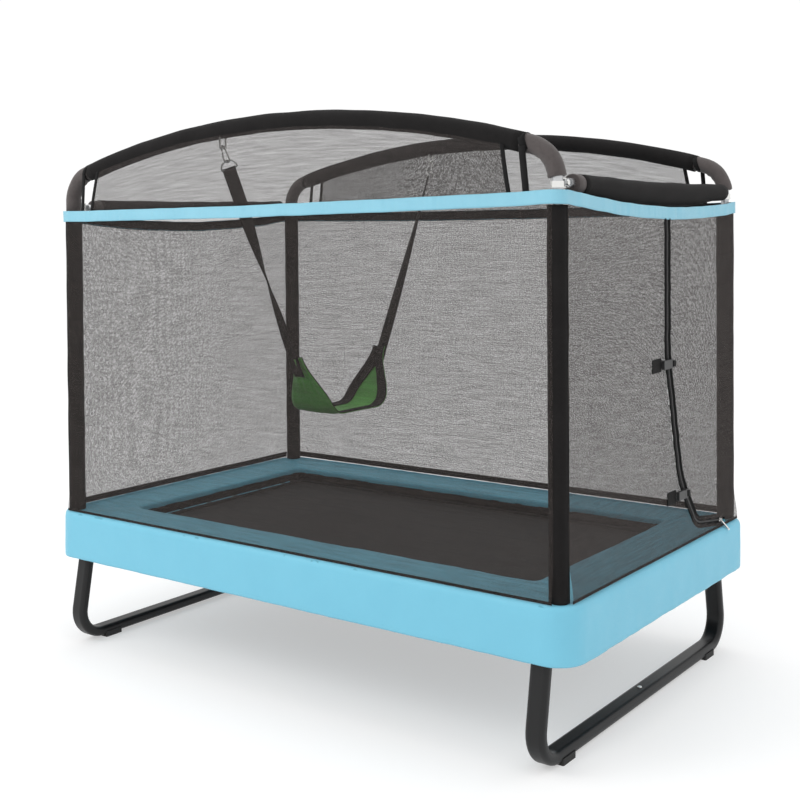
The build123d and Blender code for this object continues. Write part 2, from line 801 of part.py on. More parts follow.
def zip_pull():
    """Metal tab looped through the slider's bridge."""
    turn = math.radians(pull_angle)
    side = zip_way.cross(Vector(1, 0, 0)).normalized()
    if side.Z > 0:
        side = side * -1
    down = Vector(math.sin(turn), 0, 0) + side * math.cos(turn)
    plane = Plane(origin=pull_pivot(), x_dir=down, z_dir=zip_way.cross(down))
    half_bar = 0.75
    hole_end = slider_wide / 2 + 1.2
    tab = Pos(pull_long / 2 - half_bar, 0) * RectangleRounded(pull_long, pull_wide, 2.2)
    tab -= Pos((half_bar + hole_end) / 2, 0) * Rectangle(hole_end - half_bar, bridge_wide + 1.6)
    tab -= Pos(pull_long - 6, 0) * Circle(1.8)
    reach = zip_way * (pull_wide / 2 - 1)
    bar = rod(tuple(pull_pivot() - reach), tuple(pull_pivot() + reach), pull_thick / 2 + 0.1)
    return extrude(plane * tab, pull_thick / 2, both=True) + bar


def buckle_patch(place):
    """Square of webbing sewn on the net beside the zip."""
    y, z = place
    return block((zip_face, zip_face + 1.8), (y, y + patch_long), (z - patch_tall / 2, z + patch_tall / 2))


def buckle_socket(place):
    """Socket half: a flat box open towards the plug, with side windows."""
    y = place[0] + patch_long - 4
    z = place[1]
    low = zip_face + zip_thick + 1.0
    half = buckle_tall / 2
    shape = block((low, low + buckle_thick), (y, y + socket_long), (z - half, z + half))
    shape = fillet(shape.edges().filter_by(Axis.X), 3)
    inside = (low + 2, low + buckle_thick - 2)
    shape -= block(inside, (y + 8, y + socket_long + 1), (z - half + 2.5, z + half - 2.5))
    window = (y + 15, y + 27)
    for side in (-1, 1):
        shape -= block(inside, window, sorted((z + side * (half - 4), z + side * (half + 1))))
    return shape


def buckle_plug(place):
    """Plug half: base with a slot for its tail, a centre tongue and two sprung arms."""
    start = place[0] + patch_long - 4 + socket_long
    z = place[1]
    low = zip_face + zip_thick + 1.0
    half = buckle_tall / 2
    base = block((low, low + buckle_thick), (start + 0.6, start + plug_long - 14), (z - half, z + half))
    base = fillet(base.edges().filter_by(Axis.X), 2.5)
    base -= block((low - 1, low + buckle_thick + 1), (start + 12, start + 15.6), (z - half + 3, z + half - 3))
    inner = (low + 2.6, low + buckle_thick - 2.6)
    shape = base + block(inner, (start - 24, start + 2), (z - 2, z + 2))
    for side in (-1, 1):
        arm = sorted((z + side * (half - 6.6), z + side * (half - 3.4)))
        shape += block(inner, (start - 22, start + 2), arm)
    return shape


def buckle_tail(place):
    """Webbing looped through the plug's slot and standing up from it."""
    start = place[0] + patch_long - 4 + socket_long
    z = place[1]
    low = zip_face + zip_thick + 1.0
    half = buckle_tall / 2 - 3.6
    span = (start + 12.6, start + 15.0)
    tall = (z - half, z + half)
    strip = block((low + 0.5, low + buckle_thick + 2.0), span, tall)
    lug = block((low + buckle_thick + 0.3, low + buckle_thick + 2.0), (start + 12.6, start + 30), tall)
    return strip + lug


# Swing
def strap_tilt():
    """Lean of a strap from vertical, so that it points from the eye to the seat's end."""
    return math.degrees(math.atan2(post_y - seat_end_y, eye_z - seat_end_z))


def hang_frame():
    """Local frame at the back eye: X as the object's, -Z down along the strap."""
    return Plane(origin=(swing_x, post_y, eye_z)).rotated((-strap_tilt(), 0, 0))


def swing_eye(side):
    """U-shaped staple under an arch, welded on by its saddle, drawn at the back."""
    tube_bottom = crown_height(swing_x, side) - pole_r
    saddle_tall = (tube_bottom - 4.2, tube_bottom - 1.0)
    saddle = block((swing_x - 7, swing_x + 7), (post_y - 14, post_y + 14), saddle_tall)
    path = FilletPolyline(
        (swing_x, post_y - eye_half, tube_bottom - 3),
        (swing_x, post_y - eye_half, eye_z),
        (swing_x, post_y + eye_half, eye_z),
        (swing_x, post_y + eye_half, tube_bottom - 3),
        radius=eye_wire_r + 0.5,
    )
    return saddle + pipe(path, eye_wire_r)


def carabiner():
    """Wire body in the plane of X and the strap, open where the gate closes it."""
    low = -hook_centres
    path = Polyline((-hook_top_r, 0, -9), (-hook_top_r, 0, 0)) + ThreePointArc(
        (-hook_top_r, 0, 0), (0, 0, hook_top_r), (hook_top_r, 0, 0)
    )
    path += Line((hook_top_r, 0, 0), (hook_low_r, 0, low))
    path += ThreePointArc((hook_low_r, 0, low), (0, 0, low - hook_low_r), (-hook_low_r, 0, low))
    wire = Wire([e for e in path.edges()])
    return hang_frame() * pipe(wire, hook_wire_r)


def carabiner_gate():
    """Sprung gate from the lower end of the opening up to the nose."""
    top = Vector(-hook_top_r, 0, -9 - hook_wire_r - 0.4)
    low = Vector(-hook_low_r, 0, -hook_centres + hook_wire_r + 1.2)
    bar = rod(tuple(low), tuple(top), 2.0)
    eye = Plane(origin=low, z_dir=(0, 1, 0)) * Circle(2.6)
    bar += extrude(eye, 2.0, both=True)
    return hang_frame() * bar


def d_ring():
    """D-shaped ring linked through the carabiner's lower bow."""
    apex = -hook_centres - hook_low_r + 2 * hook_wire_r + 0.4
    bar = apex - d_tall
    path = Line((-d_half, 0, bar), (d_half, 0, bar))
    path += Line((d_half, 0, bar), (d_half, 0, bar + 4))
    path += ThreePointArc((d_half, 0, bar + 4), (0, 0, apex), (-d_half, 0, bar + 4))
    path += Line((-d_half, 0, bar + 4), (-d_half, 0, bar))
    ring = sweep_closed(path, hook_wire_r)
    return hang_frame() * Rot(0, 0, d_twist) * ring


def sweep_closed(path, radius):
    """Round wire along a closed path with small bends at its corners."""
    wire = Wire([e for e in path.edges()])
    section = Plane(origin=wire @ 0.13, z_dir=wire % 0.13) * Circle(radius)
    return sweep(section, path=wire, transition=Transition.ROUND)


def strap_ends():
    """Distances down the strap, from the eye, of its top at the D-ring and its foot."""
    top = hook_centres + hook_low_r - 2 * hook_wire_r - 0.4 + d_tall + hook_wire_r + 0.4
    foot = math.hypot(post_y - seat_end_y, eye_z - seat_end_z) - 8.0
    return top, foot


def swing_strap(foot_twist):
    """Webbing from the D-ring to the seat's end, turning as it goes down."""
    top, foot = strap_ends()
    sections = []
    steps = 6
    for i in range(steps + 1):
        t = i / steps
        turn = d_twist + (foot_twist - d_twist) * t
        z = -top - (foot - top) * t
        sections.append(hang_frame() * Pos(0, 0, z) * Rot(0, 0, turn) * Rectangle(strap_wide, webbing_thick))
    return loft([s.faces()[0] for s in sections], ruled=True)


def seat_curve(shift):
    """Sling's line in the YZ plane, shifted inward (up) by shift."""
    wall = math.atan2(seat_end_z - seat_low_z, seat_end_y - seat_flat_y)
    low = seat_low_z + shift
    flat = seat_flat_y - shift * math.tan(wall / 2)
    end_y = seat_end_y - shift * math.sin(wall)
    end_z = seat_end_z + shift * math.cos(wall)
    points = [(-end_y, end_z), (-flat, low), (flat, low), (end_y, end_z)]
    return FilletPolyline(*points, radius=seat_bend_r - shift)


def sling(shift, thick):
    """Strip of the sling, as wide as the seat."""
    inner = seat_curve(shift + thick)
    outer = seat_curve(shift)
    closing = [Line(outer @ 0, inner @ 0), Line(outer @ 1, inner @ 1)]
    sketch = make_face([e for part in [inner, outer] + closing for e in part.edges()])
    plane = Plane(origin=(swing_x, 0, 0), x_dir=(0, 1, 0), z_dir=(1, 0, 0))
    return extrude(plane * sketch, seat_wide / 2, both=True)


def seat_plan(inset):
    """Plan outline of the seat, tapering to its ends, as a tall prism."""
    half = seat_wide / 2 - inset
    end = max(seat_end_wide / 2 - inset, 0)
    flat = seat_flat_y - 20
    reach = seat_end_y + 10
    points = [(half, -flat), (half, flat)]
    points += [(end, reach), (-end, reach)] if end else [(0, reach - 1.4 * inset)]
    points += [(-half, flat), (-half, -flat)]
    points += [(-end, -reach), (end, -reach)] if end else [(0, -reach + 1.4 * inset)]
    sketch = make_face(Polyline(*points, close=True).edges())
    return extrude(Pos(swing_x, 0, seat_low_z - 50) * sketch, seat_end_z - seat_low_z + 120)


def seat_panel():
    """Fabric of the seat."""
    return sling(0, seat_thick) & seat_plan(0)


def seat_webbing():
    """Straps along both edges of the seat, lying on its inside and meeting at its ends."""
    return (sling(seat_thick + 0.2, webbing_thick) & seat_plan(0)) - seat_plan(strap_wide)


# Building
def build_parts():
    """Every node of the trampoline, by name."""
    parts = {}
    for name, end in ends:
        parts[f"frame_end_{name}"] = [mirrored_x(frame_end(), end)]
        parts[f"leg_{name}_front"] = [mirrored_x(leg_front(), end)]
        parts[f"leg_{name}_back"] = [mirrored_x(leg_back(), end)]
        parts[f"end_bar_{name}"] = [mirrored_x(end_bar(name), end)]
    for name, side in sides:
        parts[f"frame_side_{name}"] = [mirrored_y(frame_side(), side)]
        parts[f"arch_tube_{name}"] = [mirrored_y(arch_tube(name), side)]
        foam = pipe(arch_path(name, foam=True), foam_r, pole_r + fit) - eye_slot(name)
        parts[f"arch_foam_{name}"] = [mirrored_y(foam, side)]
        sleeve = pipe(arch_path(name, limit_x=bend_x), sleeve_r, foam_r + fit) - eye_slot(name)
        parts[f"arch_sleeve_{name}"] = [mirrored_y(sleeve, side)]
        parts[f"net_{name}"] = [side_net(name)]
        parts[f"gable_net_{name}"] = [mirrored_y(gable_net(name), side)]
        parts[f"carabiner_gate_{name}"] = [mirrored_y(carabiner_gate(), side)]

    parts["frame_bolts"] = [one for bolt in frame_fasteners() for one in corners(frame_bolt(*bolt))]
    parts["leg_joint_bolts"] = [leg_bolt(), mirror(leg_bolt(), Plane.YZ)]
    feet = [foot(-1), foot(1)]
    parts["leg_feet"] = feet + [mirror(one, Plane.YZ) for one in feet]
    parts["pole_brackets"] = corners(pole_bracket())

    parts["jumping_mat"] = [mat_panel()]
    parts["mat_hem"] = [mat_hem()]
    places = spring_places()
    parts["mat_rings"] = [placed(mat_ring(), point, way) for point, way in places]
    parts["mat_springs"] = [placed(spring(), point, way) for point, way in places]

    parts["safety_pad"] = [safety_pad()]
    parts["pad_inner_strip"] = [pad_inner_strip()]
    parts["pad_skirt"] = [pad_skirt()]

    parts["poles"] = corners(pole())
    parts["pole_foams"] = corners(pole_cover(foam_r, pole_r + fit))
    parts["pole_sleeves"] = corners(pole_cover(sleeve_r, foam_r + fit))

    parts["end_bar_foams"] = []
    parts["end_bar_sleeves"] = []
    for name, end in ends:
        foam = pipe(bar_path(name, -bar_foam_y, bar_foam_y), foam_r, bar_r + fit)
        parts["end_bar_foams"].append(mirrored_x(foam, end))
        sleeve = pipe(bar_path(name, -(post_y - bar_sleeve_in), bar_foam_y), sleeve_r, foam_r + fit)
        parts["end_bar_sleeves"].append(mirrored_x(sleeve, end))

    def bar_z(end, side):
        return bar_end_z - bar_drop[f"{end}_{side}"]

    def bracket(end, side):
        return bar_bracket(bar_z(end, side), arch_lift[f"{end}_{side}"])

    parts["end_bar_brackets"] = at_corners(bracket)
    parts["end_bar_bolts"] = at_corners(lambda end, side: bar_bolt(bar_z(end, side)))

    parts["net_left"] = [end_net("left")]
    slit = zip_strip(zip_net_gap, net_face_x - 5, 10, stretch=-4)
    parts["net_right"] = [end_net("right") - slit]
    parts["gable_bindings"] = gable_tapes("back") + [mirror(one, Plane.XZ) for one in gable_tapes("front")]
    parts["top_band"] = [top_band()]
    parts["net_hem"] = net_hem()

    tape = zip_strip(zip_wide, zip_face, zip_thick) - zip_strip(zip_slot, zip_face - 1, 5, stretch=-5)
    parts["zip_tape"] = [tape]
    parts["zip_slider"] = [zip_slider()]
    parts["zip_pull"] = [zip_pull()]
    places = (upper_buckle, lower_buckle)
    parts["buckle_patches"] = [buckle_patch(place) for place in places]
    parts["buckle_sockets"] = [buckle_socket(place) for place in places]
    for name, place in zip(("upper", "lower"), places):
        parts[f"{name}_buckle_plug"] = [buckle_plug(place)]
        parts[f"{name}_buckle_tail"] = [buckle_tail(place)]

    parts["swing_eyes"] = [mirrored_y(swing_eye(name), side) for name, side in sides]
    for name, shape in (("carabiners", carabiner()), ("d_rings", d_ring())):
        parts[name] = [shape, mirror(shape, Plane.XZ)]
    parts["swing_straps"] = [swing_strap(0), mirror(swing_strap(front_twist), Plane.XZ)]
    parts["seat_panel"] = [seat_panel()]
    parts["seat_webbing"] = [seat_webbing()]
    return parts


def mat_panel():
    """Woven jumping surface inside its hem."""
    inner = hem_wide + 0.3
    shape = RectangleRounded(2 * (mat_x - inner), 2 * (mat_y - inner), mat_corner_r)
    return extrude(Pos(0, 0, mat_top - mat_thick) * shape, mat_thick)


def mat_hem():
    """Folded webbing hem round the mat."""
    return rounded_ring(
        (mat_x, mat_y, mat_corner_r + hem_wide),
        (mat_x - hem_wide, mat_y - hem_wide, mat_corner_r),
        mat_top - hem_thick + 1, mat_top + 1,
    )


def safety_pad():
    """Padded border over frame and springs, with a hole for each pole."""
    shape = rounded_ring(
        (pad_x, pad_y, skirt_corner_r - skirt_thick),
        (opening_x, opening_y, opening_corner_r),
        pad_bottom, pad_top,
    )
    shape = fillet(shape.faces().sort_by(Axis.Z)[-1].outer_wire().edges(), 7)
    for hole in corners(extrude(Pos(post_x, post_y, 0) * Circle(pole_r + 1.5), 2 * pad_top)):
        shape -= hole
    return shape


def pad_inner_strip():
    """Strip hanging from the opening's edge down to the mat."""
    return rounded_ring(
        (opening_x + 1.5, opening_y + 1.5, opening_corner_r + 1.5),
        (opening_x, opening_y, opening_corner_r),
        mat_top + 4, pad_bottom - 0.2,
    )


def pad_skirt():
    """Skirt hanging round the frame from the pad's outer edge."""
    return rounded_ring(
        (skirt_x, skirt_y, skirt_corner_r),
        (skirt_x - skirt_thick, skirt_y - skirt_thick, skirt_corner_r - skirt_thick),
        skirt_bottom, pad_top - 7,
    )


def write_parts():
    os.makedirs("parts", exist_ok=True)
    for name, shapes in build_parts().items():
        solids = [solid for shape in shapes for solid in shape.solids()]
        node = solids[0] if len(solids) == 1 else Compound(children=solids)
        export_step(node, f"parts/{name}.step")


write_parts()
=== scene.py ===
import math

import bmesh
import bpy
from mathutils import Matrix, Vector, noise


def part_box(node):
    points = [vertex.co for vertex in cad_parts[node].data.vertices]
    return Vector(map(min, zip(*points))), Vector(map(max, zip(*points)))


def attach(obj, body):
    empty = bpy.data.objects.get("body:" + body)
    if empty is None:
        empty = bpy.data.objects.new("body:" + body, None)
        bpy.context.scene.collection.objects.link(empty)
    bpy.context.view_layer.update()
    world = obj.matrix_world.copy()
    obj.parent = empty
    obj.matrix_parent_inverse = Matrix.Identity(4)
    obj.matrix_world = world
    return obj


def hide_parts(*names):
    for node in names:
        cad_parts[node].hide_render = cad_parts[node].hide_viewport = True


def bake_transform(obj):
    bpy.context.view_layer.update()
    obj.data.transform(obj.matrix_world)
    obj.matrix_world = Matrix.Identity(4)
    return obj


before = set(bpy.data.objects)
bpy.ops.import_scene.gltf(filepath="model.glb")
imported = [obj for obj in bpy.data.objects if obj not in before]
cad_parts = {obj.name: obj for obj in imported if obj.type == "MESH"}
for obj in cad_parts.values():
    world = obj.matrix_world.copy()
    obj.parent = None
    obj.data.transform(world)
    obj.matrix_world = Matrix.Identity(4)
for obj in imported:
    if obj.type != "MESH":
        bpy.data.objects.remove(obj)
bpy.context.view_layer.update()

scene = bpy.context.scene
scene.view_settings.view_transform = "Standard"
upZ = Vector((0, 0, 1))

# lines of the enclosure, read from the frame
tubeR = 0.0127
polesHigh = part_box("poles")[1]
postX = polesHigh.x - tubeR
postY = polesHigh.y - tubeR
sleeveLow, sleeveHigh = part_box("pole_sleeves")
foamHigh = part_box("pole_foams")[1]
sleeveR = sleeveHigh.x - postX
foamR = foamHigh.x - postX
padLow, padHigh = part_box("safety_pad")
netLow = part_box("net_front")[0]
netOff = -postY - netLow.y          # net's outer face, out from the post line
skirtLow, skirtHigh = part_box("pad_skirt")


# ---- mesh helpers
def ease(value):
    value = min(1.0, max(0.0, value))
    return value * value * (3 - 2 * value)


def mixed(low, high, share):
    return low + (high - low) * share


def wander(point, scale, seed=0.0):
    return noise.noise(Vector(point) * scale + Vector((seed, 2 * seed, -seed)))


def ringOutline(radius, count=24, flat=1.0):
    step = 2 * math.pi / count
    return [(radius * math.cos(step * i), flat * radius * math.sin(step * i)) for i in range(count)]


def framesAlong(points, upward=upZ, closed=False):
    # local x is to the right of the run, y is up and z is forward
    frames = []
    last = len(points) - 1
    for index, point in enumerate(points):
        before = points[index - 1] if index or closed else point
        after = points[(index + 1) % len(points)] if index < last or closed else point
        forward = (after - before).normalized()
        side = forward.cross(upward).normalized()
        turned = Matrix((side, side.cross(forward), forward)).transposed().to_4x4()
        frames.append(Matrix.Translation(point) @ turned)
    return frames


def sweep(frames, outline, ring=True, loop=False):
    # the outline is extruded from frame to frame; UVs are metres across it and metres along
    bm = bmesh.new()
    uvLayer = bm.loops.layers.uv.new("UVMap")
    line = [Vector((x, y, 0)) for x, y in outline]
    line += line[:1] if ring else []
    across = [0.0]
    for one, two in zip(line, line[1:]):
        across.append(across[-1] + (two - one).length)
    stops = frames + (frames[:1] if loop else [])
    rows = [[bm.verts.new(stops[0] @ point) for point in line]]
    edges = [bm.edges.new(pair) for pair in zip(rows[0], rows[0][1:])]
    reach = [0.0]
    for last, stop in zip(stops, stops[1:]):
        grown = bmesh.ops.extrude_edge_only(bm, edges=edges)["geom"]
        fresh = {item for item in grown if isinstance(item, bmesh.types.BMVert)}
        row = []
        for vert in rows[-1]:
            row += [edge.other_vert(vert) for edge in vert.link_edges if edge.other_vert(vert) in fresh]
        edges = [item for item in grown if isinstance(item, bmesh.types.BMEdge) and set(item.verts) <= fresh]
        bmesh.ops.transform(bm, matrix=stop @ last.inverted(), verts=row)
        rows.append(row)
        reach.append(reach[-1] + (stop.translation - last.translation).length)
    places = {vert: (u, v) for row, v in zip(rows, reach) for vert, u in zip(row, across)}
    for face in bm.faces:
        for corner in face.loops:
            corner[uvLayer].uv = places[corner.vert]
    return bm


def weld(bm, near=1e-5):
    bmesh.ops.remove_doubles(bm, verts=bm.verts, dist=near)
    bmesh.ops.recalc_face_normals(bm, faces=bm.faces)
    return bm


def capped(bm):
    rim = [edge for edge in bm.edges if edge.is_boundary]
    bmesh.ops.holes_fill(bm, edges=rim, sides=0)
    return weld(bm)


def clothGrid(wide, tall, cell, place):
    # a grid wide by tall, laid by place(u, v); its UVs are metres
    bm = bmesh.new()
    columns = max(2, round(wide / cell))
    rows = max(2, round(tall / cell))
    bmesh.ops.create_grid(bm, x_segments=columns, y_segments=rows, size=0.5)
    uvLayer = bm.loops.layers.uv.new("UVMap")
    for face in bm.faces:
        for corner in face.loops:
            co = corner.vert.co
            corner[uvLayer].uv = ((co.x + 0.5) * wide, (co.y + 0.5) * tall)
    for vert in bm.verts:
        vert.co = place((vert.co.x + 0.5) * wide, (vert.co.y + 0.5) * tall)
    return bm


def makePiece(name, bm, material, body="frame", nodes=(), sharp=50, wall=0.0, offset=0.0, rounds=0):
    mesh = bpy.data.meshes.new(name)
    bm.to_mesh(mesh)
    bm.free()
    piece = bpy.data.objects.new(name, mesh)
    scene.collection.objects.link(piece)
    mesh.materials.append(material)
    mesh.shade_smooth()
    mesh.set_sharp_from_angle(angle=math.radians(sharp))
    if wall:
        thick = piece.modifiers.new("Wall", "SOLIDIFY")
        thick.thickness = wall
        thick.offset = offset
        thick.use_even_offset = False
    if rounds:
        smooth = piece.modifiers.new("Round", "SUBSURF")
        smooth.levels = smooth.render_levels = rounds
    if nodes:
        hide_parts(*nodes)
    if body:
        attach(piece, body)
    return piece


def joined(meshes):
    # several bmeshes in one, UVs kept
    whole = bmesh.new()
    for bm in meshes:
        held = bpy.data.meshes.new("held")
        bm.to_mesh(held)
        bm.free()
        whole.from_mesh(held)
        bpy.data.meshes.remove(held)
    return whole


def roundedLoop(halfX, halfY, radius, cell=0.02, turns=9):
    # closed run round a rounded rectangle, anticlockwise from above
    points = []
    for number, (sx, sy) in enumerate(((1, 1), (-1, 1), (-1, -1), (1, -1))):
        start = math.pi / 2 * number
        for i in range(turns):
            angle = start + math.pi / 2 * i / (turns - 1)
            centre = Vector((sx * (halfX - radius), sy * (halfY - radius), 0))
            points.append(centre + radius * Vector((math.cos(angle), math.sin(angle), 0)))
        following = ((-1, 1), (-1, -1), (1, -1), (1, 1))[number]
        angle = start + math.pi / 2
        goal = Vector((following[0] * (halfX - radius), following[1] * (halfY - radius), 0))
        goal += radius * Vector((math.cos(angle), math.sin(angle), 0))
        first = points[-1].copy()
        steps = max(1, round((goal - first).length / cell))
        points += [first.lerp(goal, i / steps) for i in range(1, steps)]
    return points


# ---- shader helpers
def addNode(tree, kind, inputs=None, **settings):
    made = tree.nodes.new(kind)
    for key, value in settings.items():
        setattr(made, key, value)
    for key, value in (inputs or {}).items():
        if isinstance(value, bpy.types.NodeSocket):
            tree.links.new(value, made.inputs[key])
        else:
            made.inputs[key].default_value = value
    return made


def calc(tree, operation, *values, clamp=False):
    inputs = dict(enumerate(values))
    return addNode(tree, "ShaderNodeMath", inputs, operation=operation, use_clamp=clamp).outputs[0]


def remap(tree, value, low, high, start=0.0, end=1.0, smooth=True):
    inputs = {"Value": value, "From Min": low, "From Max": high, "To Min": start, "To Max": end}
    kind = "SMOOTHSTEP" if smooth else "LINEAR"
    return addNode(tree, "ShaderNodeMapRange", inputs, interpolation_type=kind).outputs["Result"]


def speckled(tree, vector, scale, detail=3.0, rough=0.6):
    inputs = {"Vector": vector, "Scale": scale, "Detail": detail, "Roughness": rough}
    return addNode(tree, "ShaderNodeTexNoise", inputs).outputs["Fac"]


def newGroup(name, takes, gives):
    group = bpy.data.node_groups.new(name, "ShaderNodeTree")
    for label, kind, value in takes:
        socket = group.interface.new_socket(label, in_out="INPUT", socket_type="NodeSocket" + kind)
        if value is not None:
            socket.default_value = value
    for label, kind in gives:
        group.interface.new_socket(label, in_out="OUTPUT", socket_type="NodeSocket" + kind)
    begin = group.nodes.new("NodeGroupInput")
    end = group.nodes.new("NodeGroupOutput")
    return group, begin.outputs, end.inputs


def buildWeaveGroup():
    # plain weave: threads over and under at a pitch in metres; Shade is painted shade, darker where the weave sits
    # low between threads
    takes = [("Vector", "Vector", None), ("Pitch", "Float", 0.001), ("Slub", "Float", 0.3)]
    group, given, out = newGroup("clothWeave", takes, [("Height", "Float"), ("Shade", "Float")])
    parts = addNode(group, "ShaderNodeSeparateXYZ", {"Vector": given["Vector"]})
    turn = calc(group, "DIVIDE", math.pi, given["Pitch"])
    warp = calc(group, "SINE", calc(group, "MULTIPLY", parts.outputs["X"], turn))
    weft = calc(group, "SINE", calc(group, "MULTIPLY", parts.outputs["Y"], turn))
    crossed = calc(group, "MULTIPLY_ADD", calc(group, "MULTIPLY", warp, weft), 0.5, 0.5)
    slub = speckled(group, given["Vector"], calc(group, "DIVIDE", 0.12, given["Pitch"]), 2.0)
    uneven = calc(group, "MULTIPLY", calc(group, "SUBTRACT", slub, 0.5), given["Slub"])
    height = calc(group, "ADD", crossed, uneven)
    group.links.new(height, out["Height"])
    group.links.new(remap(group, height, 0.0, 1.0, 0.62, 1.0), out["Shade"])
    return group


def buildNetGroup():
    # knitted netting: rows and columns of thread with open holes
    takes = [("Vector", "Vector", None), ("Pitch", "Float", 0.003), ("Thread", "Float", 0.3),
             ("Streak", "Float", 0.2)]
    group, given, out = newGroup("knitNetting", takes, [("Cover", "Float"), ("Height", "Float")])
    lift = addNode(group, "ShaderNodeTexNoise", {"Vector": given["Vector"], "Scale": 90.0, "Detail": 1.0})
    slack = calc(group, "MULTIPLY", calc(group, "SUBTRACT", lift.outputs["Fac"], 0.5), 0.004)
    parts = addNode(group, "ShaderNodeSeparateXYZ", {"Vector": given["Vector"]})
    long = addNode(group, "ShaderNodeCombineXYZ", {
        "X": calc(group, "MULTIPLY", parts.outputs["X"], 9.0),
        "Y": calc(group, "MULTIPLY", parts.outputs["Y"], 170.0)})
    row = speckled(group, long.outputs["Vector"], 1.0, 2.0)
    widen = calc(group, "MULTIPLY", calc(group, "SUBTRACT", row, 0.5), given["Streak"])
    thread = calc(group, "ADD", given["Thread"], widen)
    across = calc(group, "DIVIDE", calc(group, "ADD", parts.outputs["X"], slack), given["Pitch"])
    upward = calc(group, "DIVIDE", calc(group, "ADD", parts.outputs["Y"], slack), given["Pitch"])
    edges = []
    for value in (across, upward):
        edge = calc(group, "ABSOLUTE", calc(group, "SUBTRACT", calc(group, "FRACT", value), 0.5))
        edges.append(calc(group, "MULTIPLY", edge, 2.0))
    near = calc(group, "MAXIMUM", edges[0], edges[1])
    limit = calc(group, "SUBTRACT", 1.0, thread)
    soft = calc(group, "SUBTRACT", near, limit)
    cover = remap(group, soft, -0.32, 0.32)
    group.links.new(cover, out["Cover"])
    group.links.new(remap(group, soft, 0.0, 0.4), out["Height"])
    return group


def buildScuffGroup():
    # rubbed patches and fine scratches, from 0 to 1
    takes = [("Vector", "Vector", None), ("Size", "Float", 12.0), ("Amount", "Float", 0.3)]
    group, given, out = newGroup("scuffMarks", takes, [("Mask", "Float"), ("Grain", "Float")])
    broad = speckled(group, given["Vector"], given["Size"], 5.0, 0.65)
    fine = speckled(group, given["Vector"], calc(group, "MULTIPLY", given["Size"], 30.0), 2.0)
    level = calc(group, "SUBTRACT", 0.78, calc(group, "MULTIPLY", given["Amount"], 0.3))
    mask = remap(group, calc(group, "MULTIPLY_ADD", fine, 0.12, broad), level, calc(group, "ADD", level, 0.12))
    group.links.new(mask, out["Mask"])
    group.links.new(fine, out["Grain"])
    return group


weaveGroup = buildWeaveGroup()
netGroup = buildNetGroup()
scuffGroup = buildScuffGroup()


def useGroup(tree, group, **inputs):
    return addNode(tree, "ShaderNodeGroup", inputs, node_tree=group)


def startMaterial(name, colour, rough, metal=0.0, **more):
    material = bpy.data.materials.new(name)
    material.use_nodes = True
    tree = material.node_tree
    shader = tree.nodes["Principled BSDF"]
    shader.inputs["Base Color"].default_value = (*colour, 1)
    shader.inputs["Roughness"].default_value = rough
    shader.inputs["Metallic"].default_value = metal
    for label, value in more.items():
        shader.inputs[label.replace("_", " ")].default_value = value
    coords = addNode(tree, "ShaderNodeTexCoord")
    return material, tree, shader, coords.outputs


def tinted(tree, share, colour, other):
    inputs = {"Factor": share, "A": (*colour, 1), "B": (*other, 1)}
    mix = tree.nodes.new("ShaderNodeMix")
    mix.data_type = "RGBA"
    for label, value in zip((0, 6, 7), inputs.values()):
        if isinstance(value, bpy.types.NodeSocket):
            tree.links.new(value, mix.inputs[label])
        else:
            mix.inputs[label].default_value = value
    return mix.outputs[2]


def addBump(tree, shader, height, strength, distance):
    made = addNode(tree, "ShaderNodeBump", {"Height": height, "Strength": strength, "Distance": distance})
    tree.links.new(made.outputs["Normal"], shader.inputs["Normal"])


def clothMaterial(name, colour, dark, pitch=0.0011, rough=0.75, sheen=0.3, depth=0.0004, patch=9.0, onUv=True,
                  creases=0.0, **more):
    material, tree, shader, coords = startMaterial(name, colour, rough, Sheen_Weight=sheen,
                                                   Sheen_Roughness=0.5, **more)
    where = coords["UV"] if onUv else coords["Object"]
    weave = useGroup(tree, weaveGroup, Vector=where, Pitch=pitch)
    cloud = speckled(tree, coords["Object"], patch, 4.0)
    # base colour: random cloud tone plus painted shade in the weave's dips, mixed from dark to colour
    toneAndWeaveShade = calc(tree, "MULTIPLY_ADD", cloud, 0.35, calc(tree, "MULTIPLY", weave.outputs["Shade"], 0.72))
    base = tinted(tree, remap(tree, toneAndWeaveShade, 0.55, 1.0), dark, colour)
    height = weave.outputs["Height"]
    if creases:
        fold = speckled(tree, coords["Object"], 26.0, 3.0)
        height = calc(tree, "MULTIPLY_ADD", fold, creases, height)
    tree.links.new(base, shader.inputs["Base Color"])
    rougher = remap(tree, weave.outputs["Shade"], 0.6, 1.0, rough + 0.12, rough - 0.06)
    tree.links.new(rougher, shader.inputs["Roughness"])
    addBump(tree, shader, height, 0.6, depth)
    return material


def netMaterial(name, colour, pitch, thread, streak=0.22):
    material, tree, shader, coords = startMaterial(name, colour, 0.8, Specular_IOR_Level=0.3)
    net = useGroup(tree, netGroup, Vector=coords["UV"], Pitch=pitch, Thread=thread, Streak=streak)
    tone = speckled(tree, coords["UV"], 35.0, 3.0)
    tree.links.new(tinted(tree, tone, [part * 0.7 for part in colour], [part * 1.25 for part in colour]),
                   shader.inputs["Base Color"])
    tree.links.new(net.outputs["Cover"], shader.inputs["Alpha"])
    addBump(tree, shader, net.outputs["Height"], 0.4, 0.0004)
    return material


def metalMaterial(name, colour, dull, rough, metal=1.0, size=14.0, amount=0.25, grain=0.00005, **more):
    material, tree, shader, coords = startMaterial(name, colour, rough, metal, **more)
    scuff = useGroup(tree, scuffGroup, Vector=coords["Object"], Size=size, Amount=amount)
    tree.links.new(tinted(tree, scuff.outputs["Mask"], colour, dull), shader.inputs["Base Color"])
    rougher = calc(tree, "MULTIPLY_ADD", scuff.outputs["Grain"], 0.12, rough - 0.05)
    tree.links.new(calc(tree, "MULTIPLY_ADD", scuff.outputs["Mask"], 0.18, rougher), shader.inputs["Roughness"])
    addBump(tree, shader, scuff.outputs["Grain"], 0.25, grain)
    return material


